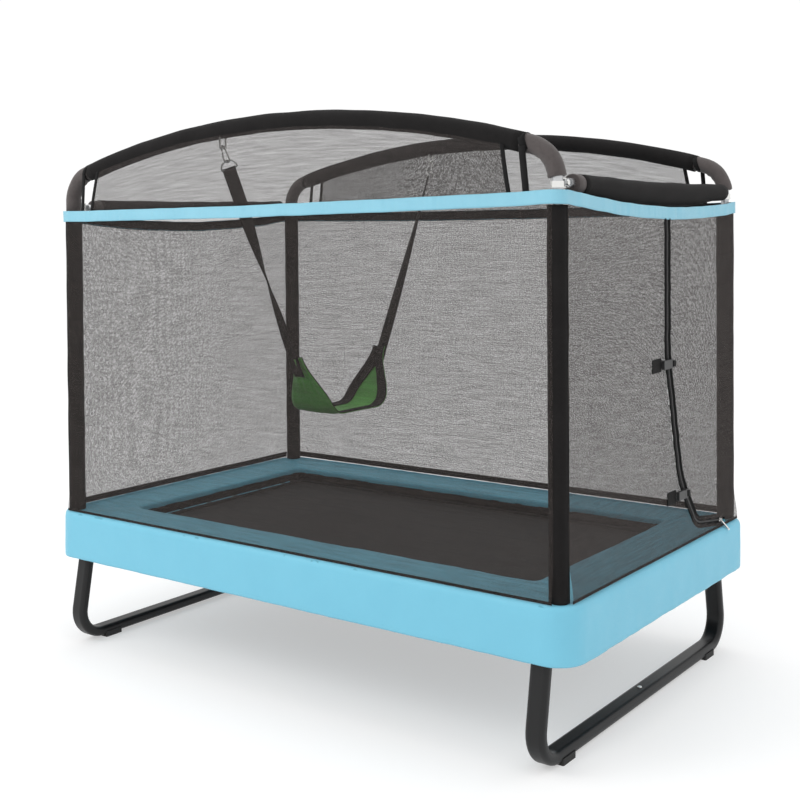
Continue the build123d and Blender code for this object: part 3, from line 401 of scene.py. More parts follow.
def foamMaterial(name, colour, dark):
    material, tree, shader, coords = startMaterial(name, colour, 0.9, Sheen_Weight=0.15, Specular_IOR_Level=0.25)
    # pores: painted shade, darker where each pore sinks in; the cloud noise is random tone
    pores = addNode(tree, "ShaderNodeTexVoronoi", {"Vector": coords["Object"], "Scale": 650.0})
    cell = remap(tree, pores.outputs["Distance"], 0.05, 0.55)
    cloud = speckled(tree, coords["Object"], 45.0, 5.0, 0.7)
    tone = calc(tree, "MULTIPLY_ADD", cell, 0.5, calc(tree, "MULTIPLY", cloud, 0.6))
    tree.links.new(tinted(tree, remap(tree, tone, 0.2, 0.9), dark, colour), shader.inputs["Base Color"])
    addBump(tree, shader, tone, 0.5, 0.0008)
    return material


blackPaint = metalMaterial("blackPaint", (0.0065, 0.0065, 0.0070), (0.016, 0.016, 0.017), 0.40, 0.0, 10.0, 0.2,
                           0.00012, Specular_IOR_Level=0.35)
zincPlain = metalMaterial("zincPlain", (0.55, 0.56, 0.57), (0.36, 0.37, 0.38), 0.34, 1.0, 40.0, 0.45)
zincBright = metalMaterial("zincBright", (0.80, 0.80, 0.78), (0.52, 0.52, 0.50), 0.17, 1.0, 60.0, 0.2)
rubberBlack = metalMaterial("rubberBlack", (0.02, 0.02, 0.02), (0.045, 0.043, 0.04), 0.8, 0.0, 30.0, 0.4, 0.0002)
plasticBlack = metalMaterial("plasticBlack", (0.022, 0.022, 0.023), (0.04, 0.04, 0.04), 0.42, 0.0, 50.0, 0.2,
                             0.00012)
foamGrey = foamMaterial("foamGrey", (0.090, 0.078, 0.076), (0.036, 0.031, 0.030))
sleeveCloth = clothMaterial("sleeveCloth", (0.0150, 0.0135, 0.0135), (0.0050, 0.0046, 0.0046), 0.0016, 0.9, 0.02,
                            0.0006, Specular_IOR_Level=0.2)
webbingBlack = clothMaterial("webbingBlack", (0.0115, 0.0110, 0.0115), (0.0040, 0.0040, 0.0040), 0.0020, 0.85,
                             0.02, 0.0007, Specular_IOR_Level=0.2)
matCloth = clothMaterial("matCloth", (0.013, 0.0135, 0.0145), (0.005, 0.005, 0.0055), 0.0022, 0.65, 0.03, 0.0005,
                         Specular_IOR_Level=0.3)
skirtBlue = clothMaterial("skirtBlue", (0.175, 0.530, 0.690), (0.150, 0.480, 0.640), 0.0007, 0.45, 0.05, 0.00025,
                          creases=0.8)
padBlue = clothMaterial("padBlue", (0.115, 0.400, 0.520), (0.090, 0.350, 0.470), 0.0007, 0.5, 0.05, 0.00025,
                        onUv=False, creases=1.5)
bandBlue = clothMaterial("bandBlue", (0.270, 0.600, 0.730), (0.200, 0.490, 0.630), 0.0007, 0.30, 0.05, 0.0005,
                         creases=3.0)
greenCloth = clothMaterial("greenCloth", (0.095, 0.380, 0.050), (0.035, 0.180, 0.020), 0.0012, 0.55, 0.1, 0.0004,
                           creases=1.0)
zipCoil = clothMaterial("zipCoil", (0.028, 0.028, 0.029), (0.008, 0.008, 0.008), 0.0034, 0.4, 0.0, 0.0012)
sideNet = netMaterial("sideNet", (0.036, 0.029, 0.026), 0.0023, 0.30, 0.30)
doorNet = netMaterial("doorNet", (0.038, 0.030, 0.027), 0.0023, 0.46, 0.30)
gableNet = netMaterial("gableNet", (0.036, 0.030, 0.028), 0.0023, 0.42, 0.34)
print("materials made")

# ---- the CAD parts that stay, with their finishes
finishes = {
    blackPaint: ["frame_end_left", "frame_end_right", "frame_side_front", "frame_side_back", "leg_left_front",
                 "leg_left_back", "leg_right_front", "leg_right_back", "pole_brackets"],
    zincPlain: ["poles", "arch_tube_front", "arch_tube_back", "end_bar_left", "end_bar_right"],
    zincBright: ["frame_bolts", "leg_joint_bolts", "end_bar_brackets", "end_bar_bolts", "mat_rings", "swing_eyes",
                 "carabiners", "carabiner_gate_front", "carabiner_gate_back", "d_rings", "zip_slider", "zip_pull"],
    rubberBlack: ["leg_feet"],
    plasticBlack: ["buckle_sockets", "upper_buckle_plug", "lower_buckle_plug"],
}
for finish, names in finishes.items():
    for name in names:
        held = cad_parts[name].data
        held.materials.clear()
        held.materials.append(finish)
print("CAD parts finished")


# ---- posts
def tubeRun(points, radius, upward=upZ, count=24, ends=0.0, flat=1.0, core=0.5):
    # a padded tube: its ends round over towards the core
    frames = framesAlong(points, upward)
    if ends:
        first, last = frames[0], frames[-1]
        turns = (0.0, 0.35, 0.75, 1.0)
        opening, closing = [], []
        for share in turns[:-1]:
            scale = 1 - ends / radius * (1 - math.sin(share * math.pi / 2))
            back = ends * math.cos(share * math.pi / 2)
            squeeze = Matrix.Diagonal((scale, scale, 1, 1))
            opening.append(first @ Matrix.Translation((0, 0, ends - back)) @ squeeze)
            closing.append(last @ Matrix.Translation((0, 0, back - ends)) @ squeeze)
        inner = Matrix.Diagonal((core, core, 1, 1))
        frames = [first @ inner] + opening + frames[1:-1] + closing[::-1] + [last @ inner]
    return sweep(frames, ringOutline(radius, count, flat))


def rumple(bm, amount, scale, seed=0.0, stretch=(1, 1, 1)):
    # moves the surface in and out along its normals
    bm.normal_update()
    moves = {}
    for vert in bm.verts:
        where = Vector(part * wide for part, wide in zip(vert.co, stretch))
        moves[vert] = vert.normal * amount * wander(where, scale, seed)
    for vert, move in moves.items():
        vert.co += move
    return bm


postCloth = {"wall": 0.0012, "rumple": 0.0011, "rings": 46}
for number, (sx, sy) in enumerate(((-1, -1), (1, -1), (1, 1), (-1, 1))):
    heights = [mixed(sleeveLow.z, sleeveHigh.z, i / postCloth["rings"]) for i in range(postCloth["rings"] + 1)]
    line = [Vector((sx * postX, sy * postY, height)) for height in heights]
    bm = weld(tubeRun(line, sleeveR, Vector((sx, sy, 0)), 28))
    rumple(bm, postCloth["rumple"], 26.0, number, (1, 1, 0.5))
    piece = makePiece(f"post_sleeve_{number + 1}", bm, sleeveCloth, nodes=["pole_sleeves"],
                      wall=postCloth["wall"], offset=-1)
    line = [Vector((sx * postX, sy * postY, mixed(sleeveLow.z, sleeveHigh.z, i / 12))) for i in range(13)]
    bm = capped(tubeRun(line, foamR, Vector((sx, sy, 0)), 20, 0.003))
    piece = makePiece(f"post_padding_{number + 1}", bm, foamGrey, nodes=["pole_foams"])
print("post sleeves made")

# ---- arches: each bend sits at its own height on its pole
arch = {"bendR": 0.09, "crownR": 3.0, "foamStart": 6.0, "sleeveEnd": 0.770, "above": 0.01928}
archLift = {("left", "front"): 0.0, ("right", "front"): 0.020, ("right", "back"): 0.010, ("left", "back"): 0.003}
bendX = postX - arch["bendR"]
sides = {"front": -1, "back": 1}
ends = {"left": -1, "right": 1}


def bendMid(end, side):
    return Vector((ends[end] * bendX, polesHigh.z + arch["above"] + archLift[end, side]))


def crownMid(side):
    left, right = bendMid("left", side), bendMid("right", side)
    half = (right - left).length / 2
    down = Vector((right.y - left.y, left.x - right.x)).normalized()
    return (left + right) / 2 + down * math.sqrt((arch["crownR"] - arch["bendR"]) ** 2 - half ** 2)


def archHeight(x, side):
    centre = crownMid(side)
    return centre.y + math.sqrt(arch["crownR"] ** 2 - (x - centre.x) ** 2)


def archLine(side, startTurn, steps=56):
    # centreline from the right foot's bend over the crown to the left one
    halves = []
    for end in ("right", "left"):
        middle = bendMid(end, side)
        away = (middle - crownMid(side)).normalized()
        last = math.atan2(away.y, abs(away.x))
        points = []
        for i in range(11):
            angle = mixed(math.radians(startTurn), last, i / 10)
            x = middle.x + ends[end] * arch["bendR"] * math.cos(angle)
            points.append(Vector((x, sides[side] * postY, middle.y + arch["bendR"] * math.sin(angle))))
        if end == "left":
            points.insert(0, Vector((middle.x - arch["bendR"], sides[side] * postY, middle.y - 0.034)))
        halves.append(points)
    right, left = halves
    top = []
    for i in range(1, steps):
        x = mixed(right[-1].x, left[-1].x, i / steps)
        top.append(Vector((x, sides[side] * postY, archHeight(x, side))))
    return right + top + left[::-1]


def creaseBends(bm, side, depth=0.0022):
    # foam puckers on the inside of each bend
    bm.normal_update()
    for vert in bm.verts:
        middle = bendMid("right" if vert.co.x > 0 else "left", side)
        inward = Vector((middle.x, vert.co.y, middle.y)) - vert.co
        if abs(vert.co.x) > bendX - 0.03 and inward.length > 0:
            facing = max(0.0, vert.normal.dot(inward.normalized()))
            angle = math.atan2(vert.co.z - middle.y, abs(vert.co.x) - bendX)
            vert.co -= vert.normal * depth * facing * (0.5 + 0.5 * math.cos(angle * 30))
    return bm


for side, sign in sides.items():
    line = archLine(side, arch["foamStart"])
    bm = capped(tubeRun(line, foamR, Vector((0, 1, 0)), 24, 0.004))
    creaseBends(rumple(bm, 0.0010, 30.0, sign), side)
    piece = makePiece(f"arch_padding_{side}", bm, foamGrey, nodes=[f"arch_foam_{side}"])
    line = []
    for i in range(71):
        x = mixed(arch["sleeveEnd"], -arch["sleeveEnd"], i / 70)
        line.append(Vector((x, sign * postY, archHeight(x, side))))
    bm = weld(tubeRun(line, sleeveR, Vector((0, 1, 0)), 28))
    rumple(bm, 0.0018, 20.0, 3 + sign, (0.6, 1, 1))
    piece = makePiece(f"arch_cloth_{side}", bm, sleeveCloth, nodes=[f"arch_sleeve_{side}"],
                      wall=0.0012, offset=-1)
    length = sum((b - a).length for a, b in zip(line, line[1:]))
print("arches padded")

# ---- end bars: each end at its own height
bar = {"end": 0.462, "foam": 0.440, "sleeveLow": -0.408, "sleeveHigh": 0.440,
       "reach": {"left": 0.0, "right": 0.034}, "slack": {"left": 0.004, "right": 0.013}}
barEnds = {"left": (1.349, 1.359, 0.003), "right": (1.381, 1.377, 0.008)}


def barLine(end, start, stop, steps=40):
    front, back, sag = barEnds[end]
    points = []
    for i in range(steps + 1):
        y = mixed(start, stop, i / steps)
        share = y / bar["end"]
        height = (front + back) / 2 + (back - front) / 2 * share - sag * (1 - share ** 2)
        points.append(Vector((ends[end] * postX, y, height)))
    return points


for end, sign in ends.items():
    line = barLine(end, -bar["foam"], bar["foam"])
    bm = rumple(capped(tubeRun(line, foamR, upZ, 24, 0.004)), 0.0008, 30.0, 5 + sign)
    piece = makePiece(f"bar_padding_{end}", bm, foamGrey, nodes=["end_bar_foams"])
    line = barLine(end, bar["sleeveLow"], bar["sleeveHigh"] + bar["reach"][end])
    bm = weld(tubeRun(line, sleeveR, upZ, 28))
    heights = barEnds[end]
    for vert in bm.verts:
        # the loose sleeve hangs below the foam between its ends
        middle = (heights[0] + heights[1]) / 2 - heights[2]
        below = ease((middle - vert.co.z) / sleeveR)
        share = min(1.0, abs(vert.co.y) / 0.40)
        vert.co.z -= bar["slack"][end] * below * (1 - share ** 4)
    rumple(bm, 0.0024, 17.0, 9 + sign, (1, 0.6, 1))
    piece = makePiece(f"bar_cloth_{end}", bm, sleeveCloth, nodes=["end_bar_sleeves"],
                      wall=0.0012, offset=-1)
    length = sum((b - a).length for a, b in zip(line, line[1:]))
print("end bars padded")

# ---- enclosure: the band hangs lower at some corners and sags between them
band = {"low": 1.330, "tall": 0.033, "wall": 0.0012, "corner": 0.029, "lap": 0.027}
bandDrop = {("left", "front"): 0.025, ("right", "front"): 0.0, ("right", "back"): 0.014, ("left", "back"): 0.022}
bandSag = {"front": 0.006, "back": 0.007, "left": 0.033, "right": 0.026}


def bandLowAt(run, share):
    # height of the band's lower edge; share goes from -1 to 1 along the run
    pair = [(end, run) for end in ends] if run in sides else [(run, side) for side in sides]
    first, last = [band["low"] - bandDrop[corner] for corner in pair]
    return (first + last) / 2 + (last - first) / 2 * share - bandSag[run] * (1 - share ** 2)


netFoot = netLow.z
flare = {"tall": 0.10, "out": 0.010}


def netPlace(run, u, v, tall, wide):
    # a point of a wall net: its top follows the band and it bellies a little
    along = u - wide / 2
    share = v / tall
    half = postX if run in sides else postY
    z = mixed(netFoot, bandLowAt(run, along / half) + band["lap"], share)
    belly = math.sin(math.pi * u / wide) * math.sin(math.pi * share)
    out = netOff + flare["out"] * ease(1 - share * tall / flare["tall"]) - 0.004 * belly
    sign = sides.get(run) or ends.get(run)
    out += 0.0015 * wander((along, sign, z), 6.0, len(run))
    if run in sides:
        return Vector((along, sign * (postY + out), z))
    return Vector((sign * (postX + out), along, z))


# ---- door zip: its line in the plane of the right net, (y, z)
zipper = {"points": ((0.032, 1.299), (0.032, 0.930), (0.111, 0.595), (0.222, 0.450), (0.405, 0.423)),
          "radii": (0.300, 0.200, 0.080), "tape": 0.0165, "slit": 0.0065, "face": 0.0285}


def filleted(points, radii, steps=8):
    # polyline with its inner corners rounded
    whole = [Vector(points[0])]
    for before, corner, after, radius in zip(points, points[1:], points[2:], radii):
        corner = Vector(corner)
        back = (Vector(before) - corner).normalized()
        on = (Vector(after) - corner).normalized()
        half = back.angle(on) / 2
        reach = radius / math.tan(half)
        start, stop = corner + back * reach, corner + on * reach
        centre = corner + (back + on).normalized() * radius / math.sin(half)
        for i in range(steps + 1):
            arm = start.lerp(stop, i / steps) - centre
            whole.append(centre + arm.normalized() * radius)
    return whole + [Vector(points[-1])]


def evenly(points, cell):
    # the same run cut into nearly equal steps
    even = [points[0]]
    for one, two in zip(points, points[1:]):
        count = max(1, round((two - one).length / cell))
        even += [one.lerp(two, i / count) for i in range(1, count + 1)]
    return even


zipRun = evenly(filleted(zipper["points"], zipper["radii"]), 0.006)

for run in (*sides, *ends):
    half = postX if run in sides else postY
    tall = band["low"] + band["lap"] - netFoot
    cell = 0.008 if run == "right" else 0.014
    bm = clothGrid(2 * half, tall, cell, lambda u, v: netPlace(run, u, v, tall, 2 * half))
    if run == "right":
        gone = []
        for face in bm.faces:
            middle = face.calc_center_median()
            flat = Vector((middle.y, middle.z))
            if middle.y > 0 and min((flat - point).length for point in zipRun) < zipper["slit"]:
                gone.append(face)
        bmesh.ops.delete(bm, geom=gone, context="FACES")
    piece = makePiece(f"netting_{run}", weld(bm), doorNet if run == "right" else sideNet,
                      nodes=[f"net_{run}"])

# hem at the net's foot
meshes = []
for run in (*sides, *ends):
    half = postX if run in sides else postY
    sign = sides.get(run) or ends.get(run)
    outward = Vector((0, sign, 0)) if run in sides else Vector((sign, 0, 0))
    tall = band["low"] + band["lap"] - netFoot
    hemTall = 0.007 if run in ("front", "right") else 0.020
    bm = clothGrid(2 * half, hemTall, hemTall / 2,
                   lambda u, v: netPlace(run, u, v, tall, 2 * half) - outward * 0.0012)
    meshes.append(weld(bm))
piece = makePiece("net_hem_cloth", joined(meshes), webbingBlack, nodes=["net_hem"], wall=0.0010)

gable = {"topX": 0.720, "footX": 0.745, "under": 0.0135, "lap": 0.016}


def gablePlace(side, x, share, proud=0.0):
    low = bandLowAt(side, x / postX) + gable["lap"]
    z = mixed(low, archHeight(x, side) - gable["under"], share)
    out = mixed(netOff - 0.0024, 0.018, share ** 2) + 0.0015 * wander((x, 0, z), 9.0, sides[side]) + proud
    return Vector((x, sides[side] * (postY + out), z))


for side in sides:
    run, tall = 2 * gable["footX"], 0.21

    def place(u, v):
        share = v / tall
        return gablePlace(side, (2 * u / run - 1) * mixed(gable["footX"], gable["topX"], share), share)

    bm = clothGrid(run, tall, 0.012, place)
    piece = makePiece(f"gable_netting_{side}", weld(bm), gableNet, nodes=[f"gable_net_{side}"])
    # tape along both slanted ends
    meshes = []
    for sign in (-1, 1):
        def tapePlace(u, v):
            share = v / 0.11
            x = sign * (mixed(gable["footX"], gable["topX"], share) + u - 0.004)
            return gablePlace(side, x, share, 0.0011)

        meshes.append(weld(clothGrid(0.012, 0.11, 0.004, tapePlace)))
    piece = makePiece(f"gable_tape_{side}", joined(meshes), webbingBlack, nodes=["gable_bindings"],
                      wall=0.0012)
print("nets hung")


def tieStrap(side, sign, wide, lean):
    # strap once round the foam beside the sleeve, then down behind the band
    x = sign * (arch["sleeveEnd"] + wide / 2 + 0.001)
    middle = Vector((x, sides[side] * postY, archHeight(min(x, bendX) if x > 0 else max(x, -bendX), side)))
    middle.z -= 0.0016
    tilt = Matrix.Rotation(-sign * 0.30, 3, "Y")
    aroundFoam = []
    for i in range(25):
        angle = 2 * math.pi * i / 24
        arm = Vector((0, math.sin(angle), math.cos(angle))) * (foamR + 0.0022)
        aroundFoam.append(middle + tilt @ arm)
    outward = sides[side]
    low = bandLowAt(side, x / postX) + 0.012
    down = []
    start = middle + Vector((0, outward * (foamR + 0.003), -0.008))
    for i in range(7):
        share = i / 6
        point = start.lerp(Vector((x + lean, outward * (postY + netOff - 0.003), low)), share)
        down.append(point)
    meshes = []
    for run, upward, closed in ((aroundFoam, Vector((1, 0, 0)), False), (down, Vector((0, outward, 0)), False)):
        flat = [(-wide / 2, 0), (wide / 2, 0)] if run is down else [(0, -wide / 2), (0, wide / 2)]
        meshes.append(weld(sweep(framesAlong(run, upward, closed), flat, ring=False)))
    return meshes


for side in sides:
    meshes = []
    for end, sign in ends.items():
        wide = 0.018 if (end, side) == ("right", "front") else 0.013
        meshes += tieStrap(side, sign, wide, sign * 0.012)
    piece = makePiece(f"gable_tie_{side}", joined(meshes), webbingBlack, nodes=["gable_bindings"],
                      wall=0.0014)
print("gable ties made")


# ---- top band and its dark lining
def bandLoop(out):
    loop = roundedLoop(postX + out, postY + out, out, 0.0045)
    for point in loop:
        nearEnd = max(0.0, abs(point.y) - postY) < max(0.0, abs(point.x) - postX)
        if nearEnd:
            run, share = ("right" if point.x > 0 else "left"), point.y / postY
        else:
            run, share = ("back" if point.y > 0 else "front"), point.x / postX
        point.z = bandLowAt(run, max(-1.0, min(1.0, share)))
    return loop


def bandCloth(out, low, high, rows, gather):
    loop = bandLoop(out)
    frames = framesAlong([Vector((p.x, p.y, 0)) for p in loop], upZ, True)
    for stop, point in zip(frames, loop):
        stop.translation = point
    outline = [(0, mixed(low, high, i / rows)) for i in range(rows + 1)]
    bm = weld(sweep(frames, outline, ring=False, loop=True))
    bm.normal_update()
    for vert in bm.verts:
        fine = wander((vert.co.x, vert.co.y, vert.co.z * 0.25), 62.0, 2)
        broad = wander((vert.co.x, vert.co.y, vert.co.z), 16.0, 5)
        vert.co += vert.normal * max(-0.0008, gather * (1.5 * fine + 1.4 * broad))
        vert.co.z += 0.0014 * wander((vert.co.x, vert.co.y, 0), 14.0, 8)
    length = sum((b - a).length for a, b in zip(loop, loop[1:] + loop[:1]))
    return bm, length


bm, bandRun = bandCloth(0.0305, 0.0, band["tall"], 7, 0.0019)
piece = makePiece("top_band_cloth", bm, bandBlue, nodes=["top_band"], wall=band["wall"], sharp=80)
bm, bandRun = bandCloth(0.0235, 0.0045, band["tall"] - 0.001, 4, 0.0006)
piece = makePiece("band_lining", bm, webbingBlack, nodes=["top_band"], wall=0.0008, sharp=80)
print("band made")


# ---- zip: tape with a cord along both edges, and the coil between
def onDoor(point, proud):
    return Vector((postX + proud, point.x, point.y))


spots = [onDoor(point, zipper["face"] - 0.0003 + 0.0014 * wander((0, *point), 30.0, 3)) for point in zipRun]
frames = framesAlong(spots, Vector((1, 0, 0)))
half = zipper["tape"]
edge = [(0.0, 0.0), (0.0002, 0.0022), (0.0018, 0.0036), (0.0040, 0.0034), (0.0056, 0.0018), (0.0064, 0.0)]
outline = [(-half + x, y) for x, y in edge] + [(-0.004, 0.0), (0.0, 0.0), (0.004, 0.0)]
outline += [(half - x, y) for x, y in reversed(edge)]
piece = makePiece("zip_tape_cloth", weld(sweep(frames, outline, ring=False)), webbingBlack,
                  nodes=["zip_tape"], wall=0.0008)
zipLong = sum((b - a).length for a, b in zip(spots, spots[1:]))
outline = [(-0.0026, 0.0005), (-0.0020, 0.0016), (-0.0004, 0.0017), (0.0, 0.0012), (0.0004, 0.0017),
           (0.0020, 0.0016), (0.0026, 0.0005)]
piece = makePiece("zip_coil", weld(sweep(frames, outline, ring=False)), zipCoil,
                  nodes=["zip_tape"])

# ---- buckle patches and the webbing tails on the plugs
def clothPatch(name, low, high, material, body, nodes, soft=0.0006, rounds=0):
    # cloth over a thin CAD box standing in the net's plane
    wide, tall = high.y - low.y, high.z - low.z

    def place(u, v):
        y, z = low.y + u, low.z + v
        edgeNear = min(u, wide - u, v, tall - v)
        x = high.x - 0.0006 - soft * (1 - ease(edgeNear / 0.004)) + 0.0004 * wander((0, y, z), 60.0, 2)
        return Vector((x, y, z))

    bm = weld(clothGrid(wide, tall, 0.002, place))
    piece = makePiece(name, bm, material, body, nodes, wall=high.x - low.x - 0.0006, offset=-1)
    return piece


patchLow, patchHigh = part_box("buckle_patches")
patch = {"tall": 0.036, "wide": 0.056}
clothPatch("upper_buckle_patch", Vector((patchLow.x, patchLow.y, patchHigh.z - patch["tall"])),
           Vector((patchHigh.x, patchLow.y + patch["wide"], patchHigh.z)), webbingBlack, "frame",
           ["buckle_patches"])
clothPatch("lower_buckle_patch", Vector((patchLow.x, patchHigh.y - patch["wide"], patchLow.z)),
           Vector((patchHigh.x, patchHigh.y, patchLow.z + patch["tall"])), webbingBlack, "frame",
           ["buckle_patches"])
for level in ("upper", "lower"):
    low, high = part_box(f"{level}_buckle_tail")
    middle = (low.z + high.z) / 2
    bends = [(low.x, low.y + 0.0012), (high.x - 0.004, low.y + 0.0012), (high.x - 0.0016, low.y + 0.0022),
             (high.x - 0.0009, low.y + 0.0045), (high.x - 0.0009, high.y)]
    run = evenly([Vector((x, y, middle)) for x, y in bends], 0.003)
    outline = [(0, mixed(-1, 1, i / 6) * (high.z - low.z) / 2) for i in range(7)]
    bm = rumple(weld(sweep(framesAlong(run), outline, ring=False)), 0.0006, 90.0, 2)
    piece = makePiece(f"{level}_tail_cloth", bm, webbingBlack, f"{level}_plug",
                      [f"{level}_buckle_tail"], wall=0.0016)
    sum((b - a).length for a, b in zip(run, run[1:]))
print("door made")

# ---- swing: straps, seat and its webbing borders
swing = {"x": -0.210, "wide": 0.038, "thick": 0.0022, "turns": {"front": (50, 180), "back": (-50, 0)}}
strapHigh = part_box("swing_straps")[1]
seat = {"endY": 0.218, "endZ": 0.885, "flatY": 0.120, "lowZ": 0.708, "bend": 0.062, "half": 0.0825, "tip": 0.021}


def seatRun():
    # the seat's line from front to back, (y, z)
    points = ((-seat["endY"], seat["endZ"]), (-seat["flatY"], seat["lowZ"]), (seat["flatY"], seat["lowZ"]),
              (seat["endY"], seat["endZ"]))
    return evenly(filleted(points, (seat["bend"], seat["bend"]), 12), 0.006)


def seatHalf(share):
    # half width: broad over the bottom, drawn in to the straps at both ends
    away = abs(2 * share - 1)
    return mixed(seat["half"], seat["tip"], ease((away - 0.42) / 0.56))


seatLine = seatRun()
reach = [0.0]
for one, two in zip(seatLine, seatLine[1:]):
    reach.append(reach[-1] + (two - one).length)
seatLong = reach[-1]


def seatPlace(across, along, lift=0.0):
    # across from -1 to 1, along in metres
    index = max(i for i, far in enumerate(reach[:-1]) if far <= along + 1e-9)
    share = (along - reach[index]) / (reach[index + 1] - reach[index])
    point = seatLine[index].lerp(seatLine[index + 1], share)
    forward = (seatLine[index + 1] - seatLine[index]).normalized()
    inward = Vector((-forward.y, forward.x))
    part = along / seatLong
    narrow = 1 - (seatHalf(part) - seat["tip"]) / (seat["half"] - seat["tip"])
    cup = 0.010 * (across ** 2) * (0.35 + narrow)
    fold = 0.0030 * narrow * math.sin(9 * across + 3) + 0.0022 * wander((across, along, 0), 7.0, 4)
    point = point + inward * (cup + fold + lift)
    return Vector((swing["x"] + across * seatHalf(part), point.x, point.y))


bm = bmesh.new()
bmesh.ops.create_grid(bm, x_segments=18, y_segments=80, size=1)
uvLayer = bm.loops.layers.uv.new("UVMap")
for face in bm.faces:
    for corner in face.loops:
        co = corner.vert.co
        corner[uvLayer].uv = (co.x * seat["half"], (co.y + 1) / 2 * seatLong)
for vert in bm.verts:
    vert.co = seatPlace(vert.co.x, (vert.co.y + 1) / 2 * seatLong)
piece = makePiece("seat_cloth", weld(bm), greenCloth, "swing", ["seat_panel"], wall=0.0020)

meshes = []
for sign in (-1, 1):
    bm = bmesh.new()
    bmesh.ops.create_grid(bm, x_segments=5, y_segments=80, size=1)
    uvLayer = bm.loops.layers.uv.new("UVMap")
    for face in bm.faces:
        for corner in face.loops:
            co = corner.vert.co
            corner[uvLayer].uv = (co.x * swing["wide"] / 2, (co.y + 1) / 2 * seatLong)
    for vert in bm.verts:
        along = (vert.co.y + 1) / 2 * seatLong
        half = seatHalf(along / seatLong)
        share = min(1.0, swing["wide"] / (2 * half))
        inner = 1 - 2 * share * (1 - vert.co.x) / 2
        vert.co = seatPlace(sign * inner, along, 0.0034)
    meshes.append(weld(bm))
piece = makePiece("seat_borders", joined(meshes), webbingBlack, "swing", ["seat_webbing"],
                  wall=0.0018)

for side, sign in sides.items():
    top = Vector((swing["x"], sign * (strapHigh.y - 0.008), strapHigh.z - 0.002))
    foot = Vector((swing["x"], sign * (seat["endY"] + 0.001), seat["endZ"]))
    onSeat = []
    for i in range(1, 13):
        along = 0.062 * i / 12
        point = seatPlace(0, along if sign < 0 else seatLong - along, -0.0042 * min(1, i / 4))
        onSeat.append(point)
    first, last = swing["turns"][side]
    frames = []
    spots = [top.lerp(foot, i / 60) for i in range(61)] + onSeat
    for i, point in enumerate(spots):
        share = min(1.0, i / 60)
        turn = math.radians(mixed(first, last, ease(share * 1.04)))
        forward = (spots[min(i + 1, len(spots) - 1)] - spots[max(i - 1, 0)]).normalized()
        wideWay = Vector((math.cos(turn), math.sin(turn), 0))
        wideWay = (wideWay - forward * wideWay.dot(forward)).normalized()
        turned = Matrix((wideWay, forward.cross(wideWay), forward)).transposed().to_4x4()
        bow = 0.0025 * math.sin(math.pi * share)
        frames.append(Matrix.Translation(point + Vector((bow, 0, 0))) @ turned)
    half = swing["wide"] / 2
    outline = [(mixed(-half, half, i / 8), 0.0010 * math.cos(math.pi * (i / 4 - 1))) for i in range(9)]
    bm = weld(sweep(frames, outline, ring=False))
    piece = makePiece(f"strap_cloth_{side}", bm, webbingBlack, "swing", ["swing_straps"],
                      wall=swing["thick"])
print("swing made")

# ---- springs: a wound coil with a hook at both ends, ring side and frame side
coil = {"r": 0.0052, "wire": 0.0013, "turns": 13, "start": 0.0115, "long": 0.044, "z": 0.360}
spots = []
for i in range(12):
    x = mixed(-0.632, 0.632, i / 11)
    spots += [(Vector((x, sign * 0.403, coil["z"])), Vector((0, sign, 0))) for sign in (-1, 1)]
for i in range(6):
    y = mixed(-0.308, 0.308, i / 5)
    spots += [(Vector((sign * 0.727, y, coil["z"])), Vector((sign, 0, 0))) for sign in (-1, 1)]
meshes = []
for spot, way in spots:
    side = way.cross(upZ)
    line = [spot - way * 0.002, spot + way * 0.004 - upZ * 0.002]
    steps = coil["turns"] * 8
    for i in range(steps + 1):
        angle = 2 * math.pi * i / 8
        arm = side * math.sin(angle) * coil["r"] - upZ * math.cos(angle) * coil["r"]
        line.append(spot + way * (coil["start"] + coil["long"] * i / steps) + arm)
    line += [spot + way * 0.066 - upZ * 0.002, spot + way * 0.075]
    meshes.append(capped(sweep(framesAlong(line, way.cross(upZ) + way * 0.4), ringOutline(coil["wire"], 5))))
piece = makePiece("spring_coils", joined(meshes), zincBright, nodes=["mat_springs"])
print("springs wound")

# ---- safety pad, its skirt and strips
pad = {"cornerOut": 0.076, "openX": 0.725, "openY": 0.385, "cornerIn": 0.028, "crown": 0.0022, "count": 9}


def ringFrames(outer, inner):
    # frames whose local x runs from the inner line to the outer one
    frames = []
    around = framesAlong(outer, upZ, True)
    for stop, far, near in zip(around, outer, inner):
        across = far - near
        forward = stop.to_3x3().col[2]
        turned = Matrix((across, upZ, forward)).transposed().to_4x4()
        frames.append(Matrix.Translation(near) @ turned)
    return frames


def pairedLoops(outer, inner, cell=0.016, turns=11):
    # two rounded rectangles cut into the same number of steps
    corners = []
    for halfX, halfY, radius in (outer, inner):
        points = []
        for number, (sx, sy) in enumerate(((1, 1), (-1, 1), (-1, -1), (1, -1))):
            start = math.pi / 2 * number
            centre = Vector((sx * (halfX - radius), sy * (halfY - radius), 0))
            bend = []
            for i in range(turns):
                angle = start + math.pi / 2 * i / (turns - 1)
                bend.append(centre + radius * Vector((math.cos(angle), math.sin(angle), 0)))
            points.append(bend)
        corners.append(points)
    loops = [[], []]
    for number in range(4):
        following = (number + 1) % 4
        steps = max(1, round((corners[0][following][0] - corners[0][number][-1]).length / cell))
        for loop, points in zip(loops, corners):
            loop += points[number]
            loop += [points[number][-1].lerp(points[following][0], i / steps) for i in range(1, steps)]
    return loops


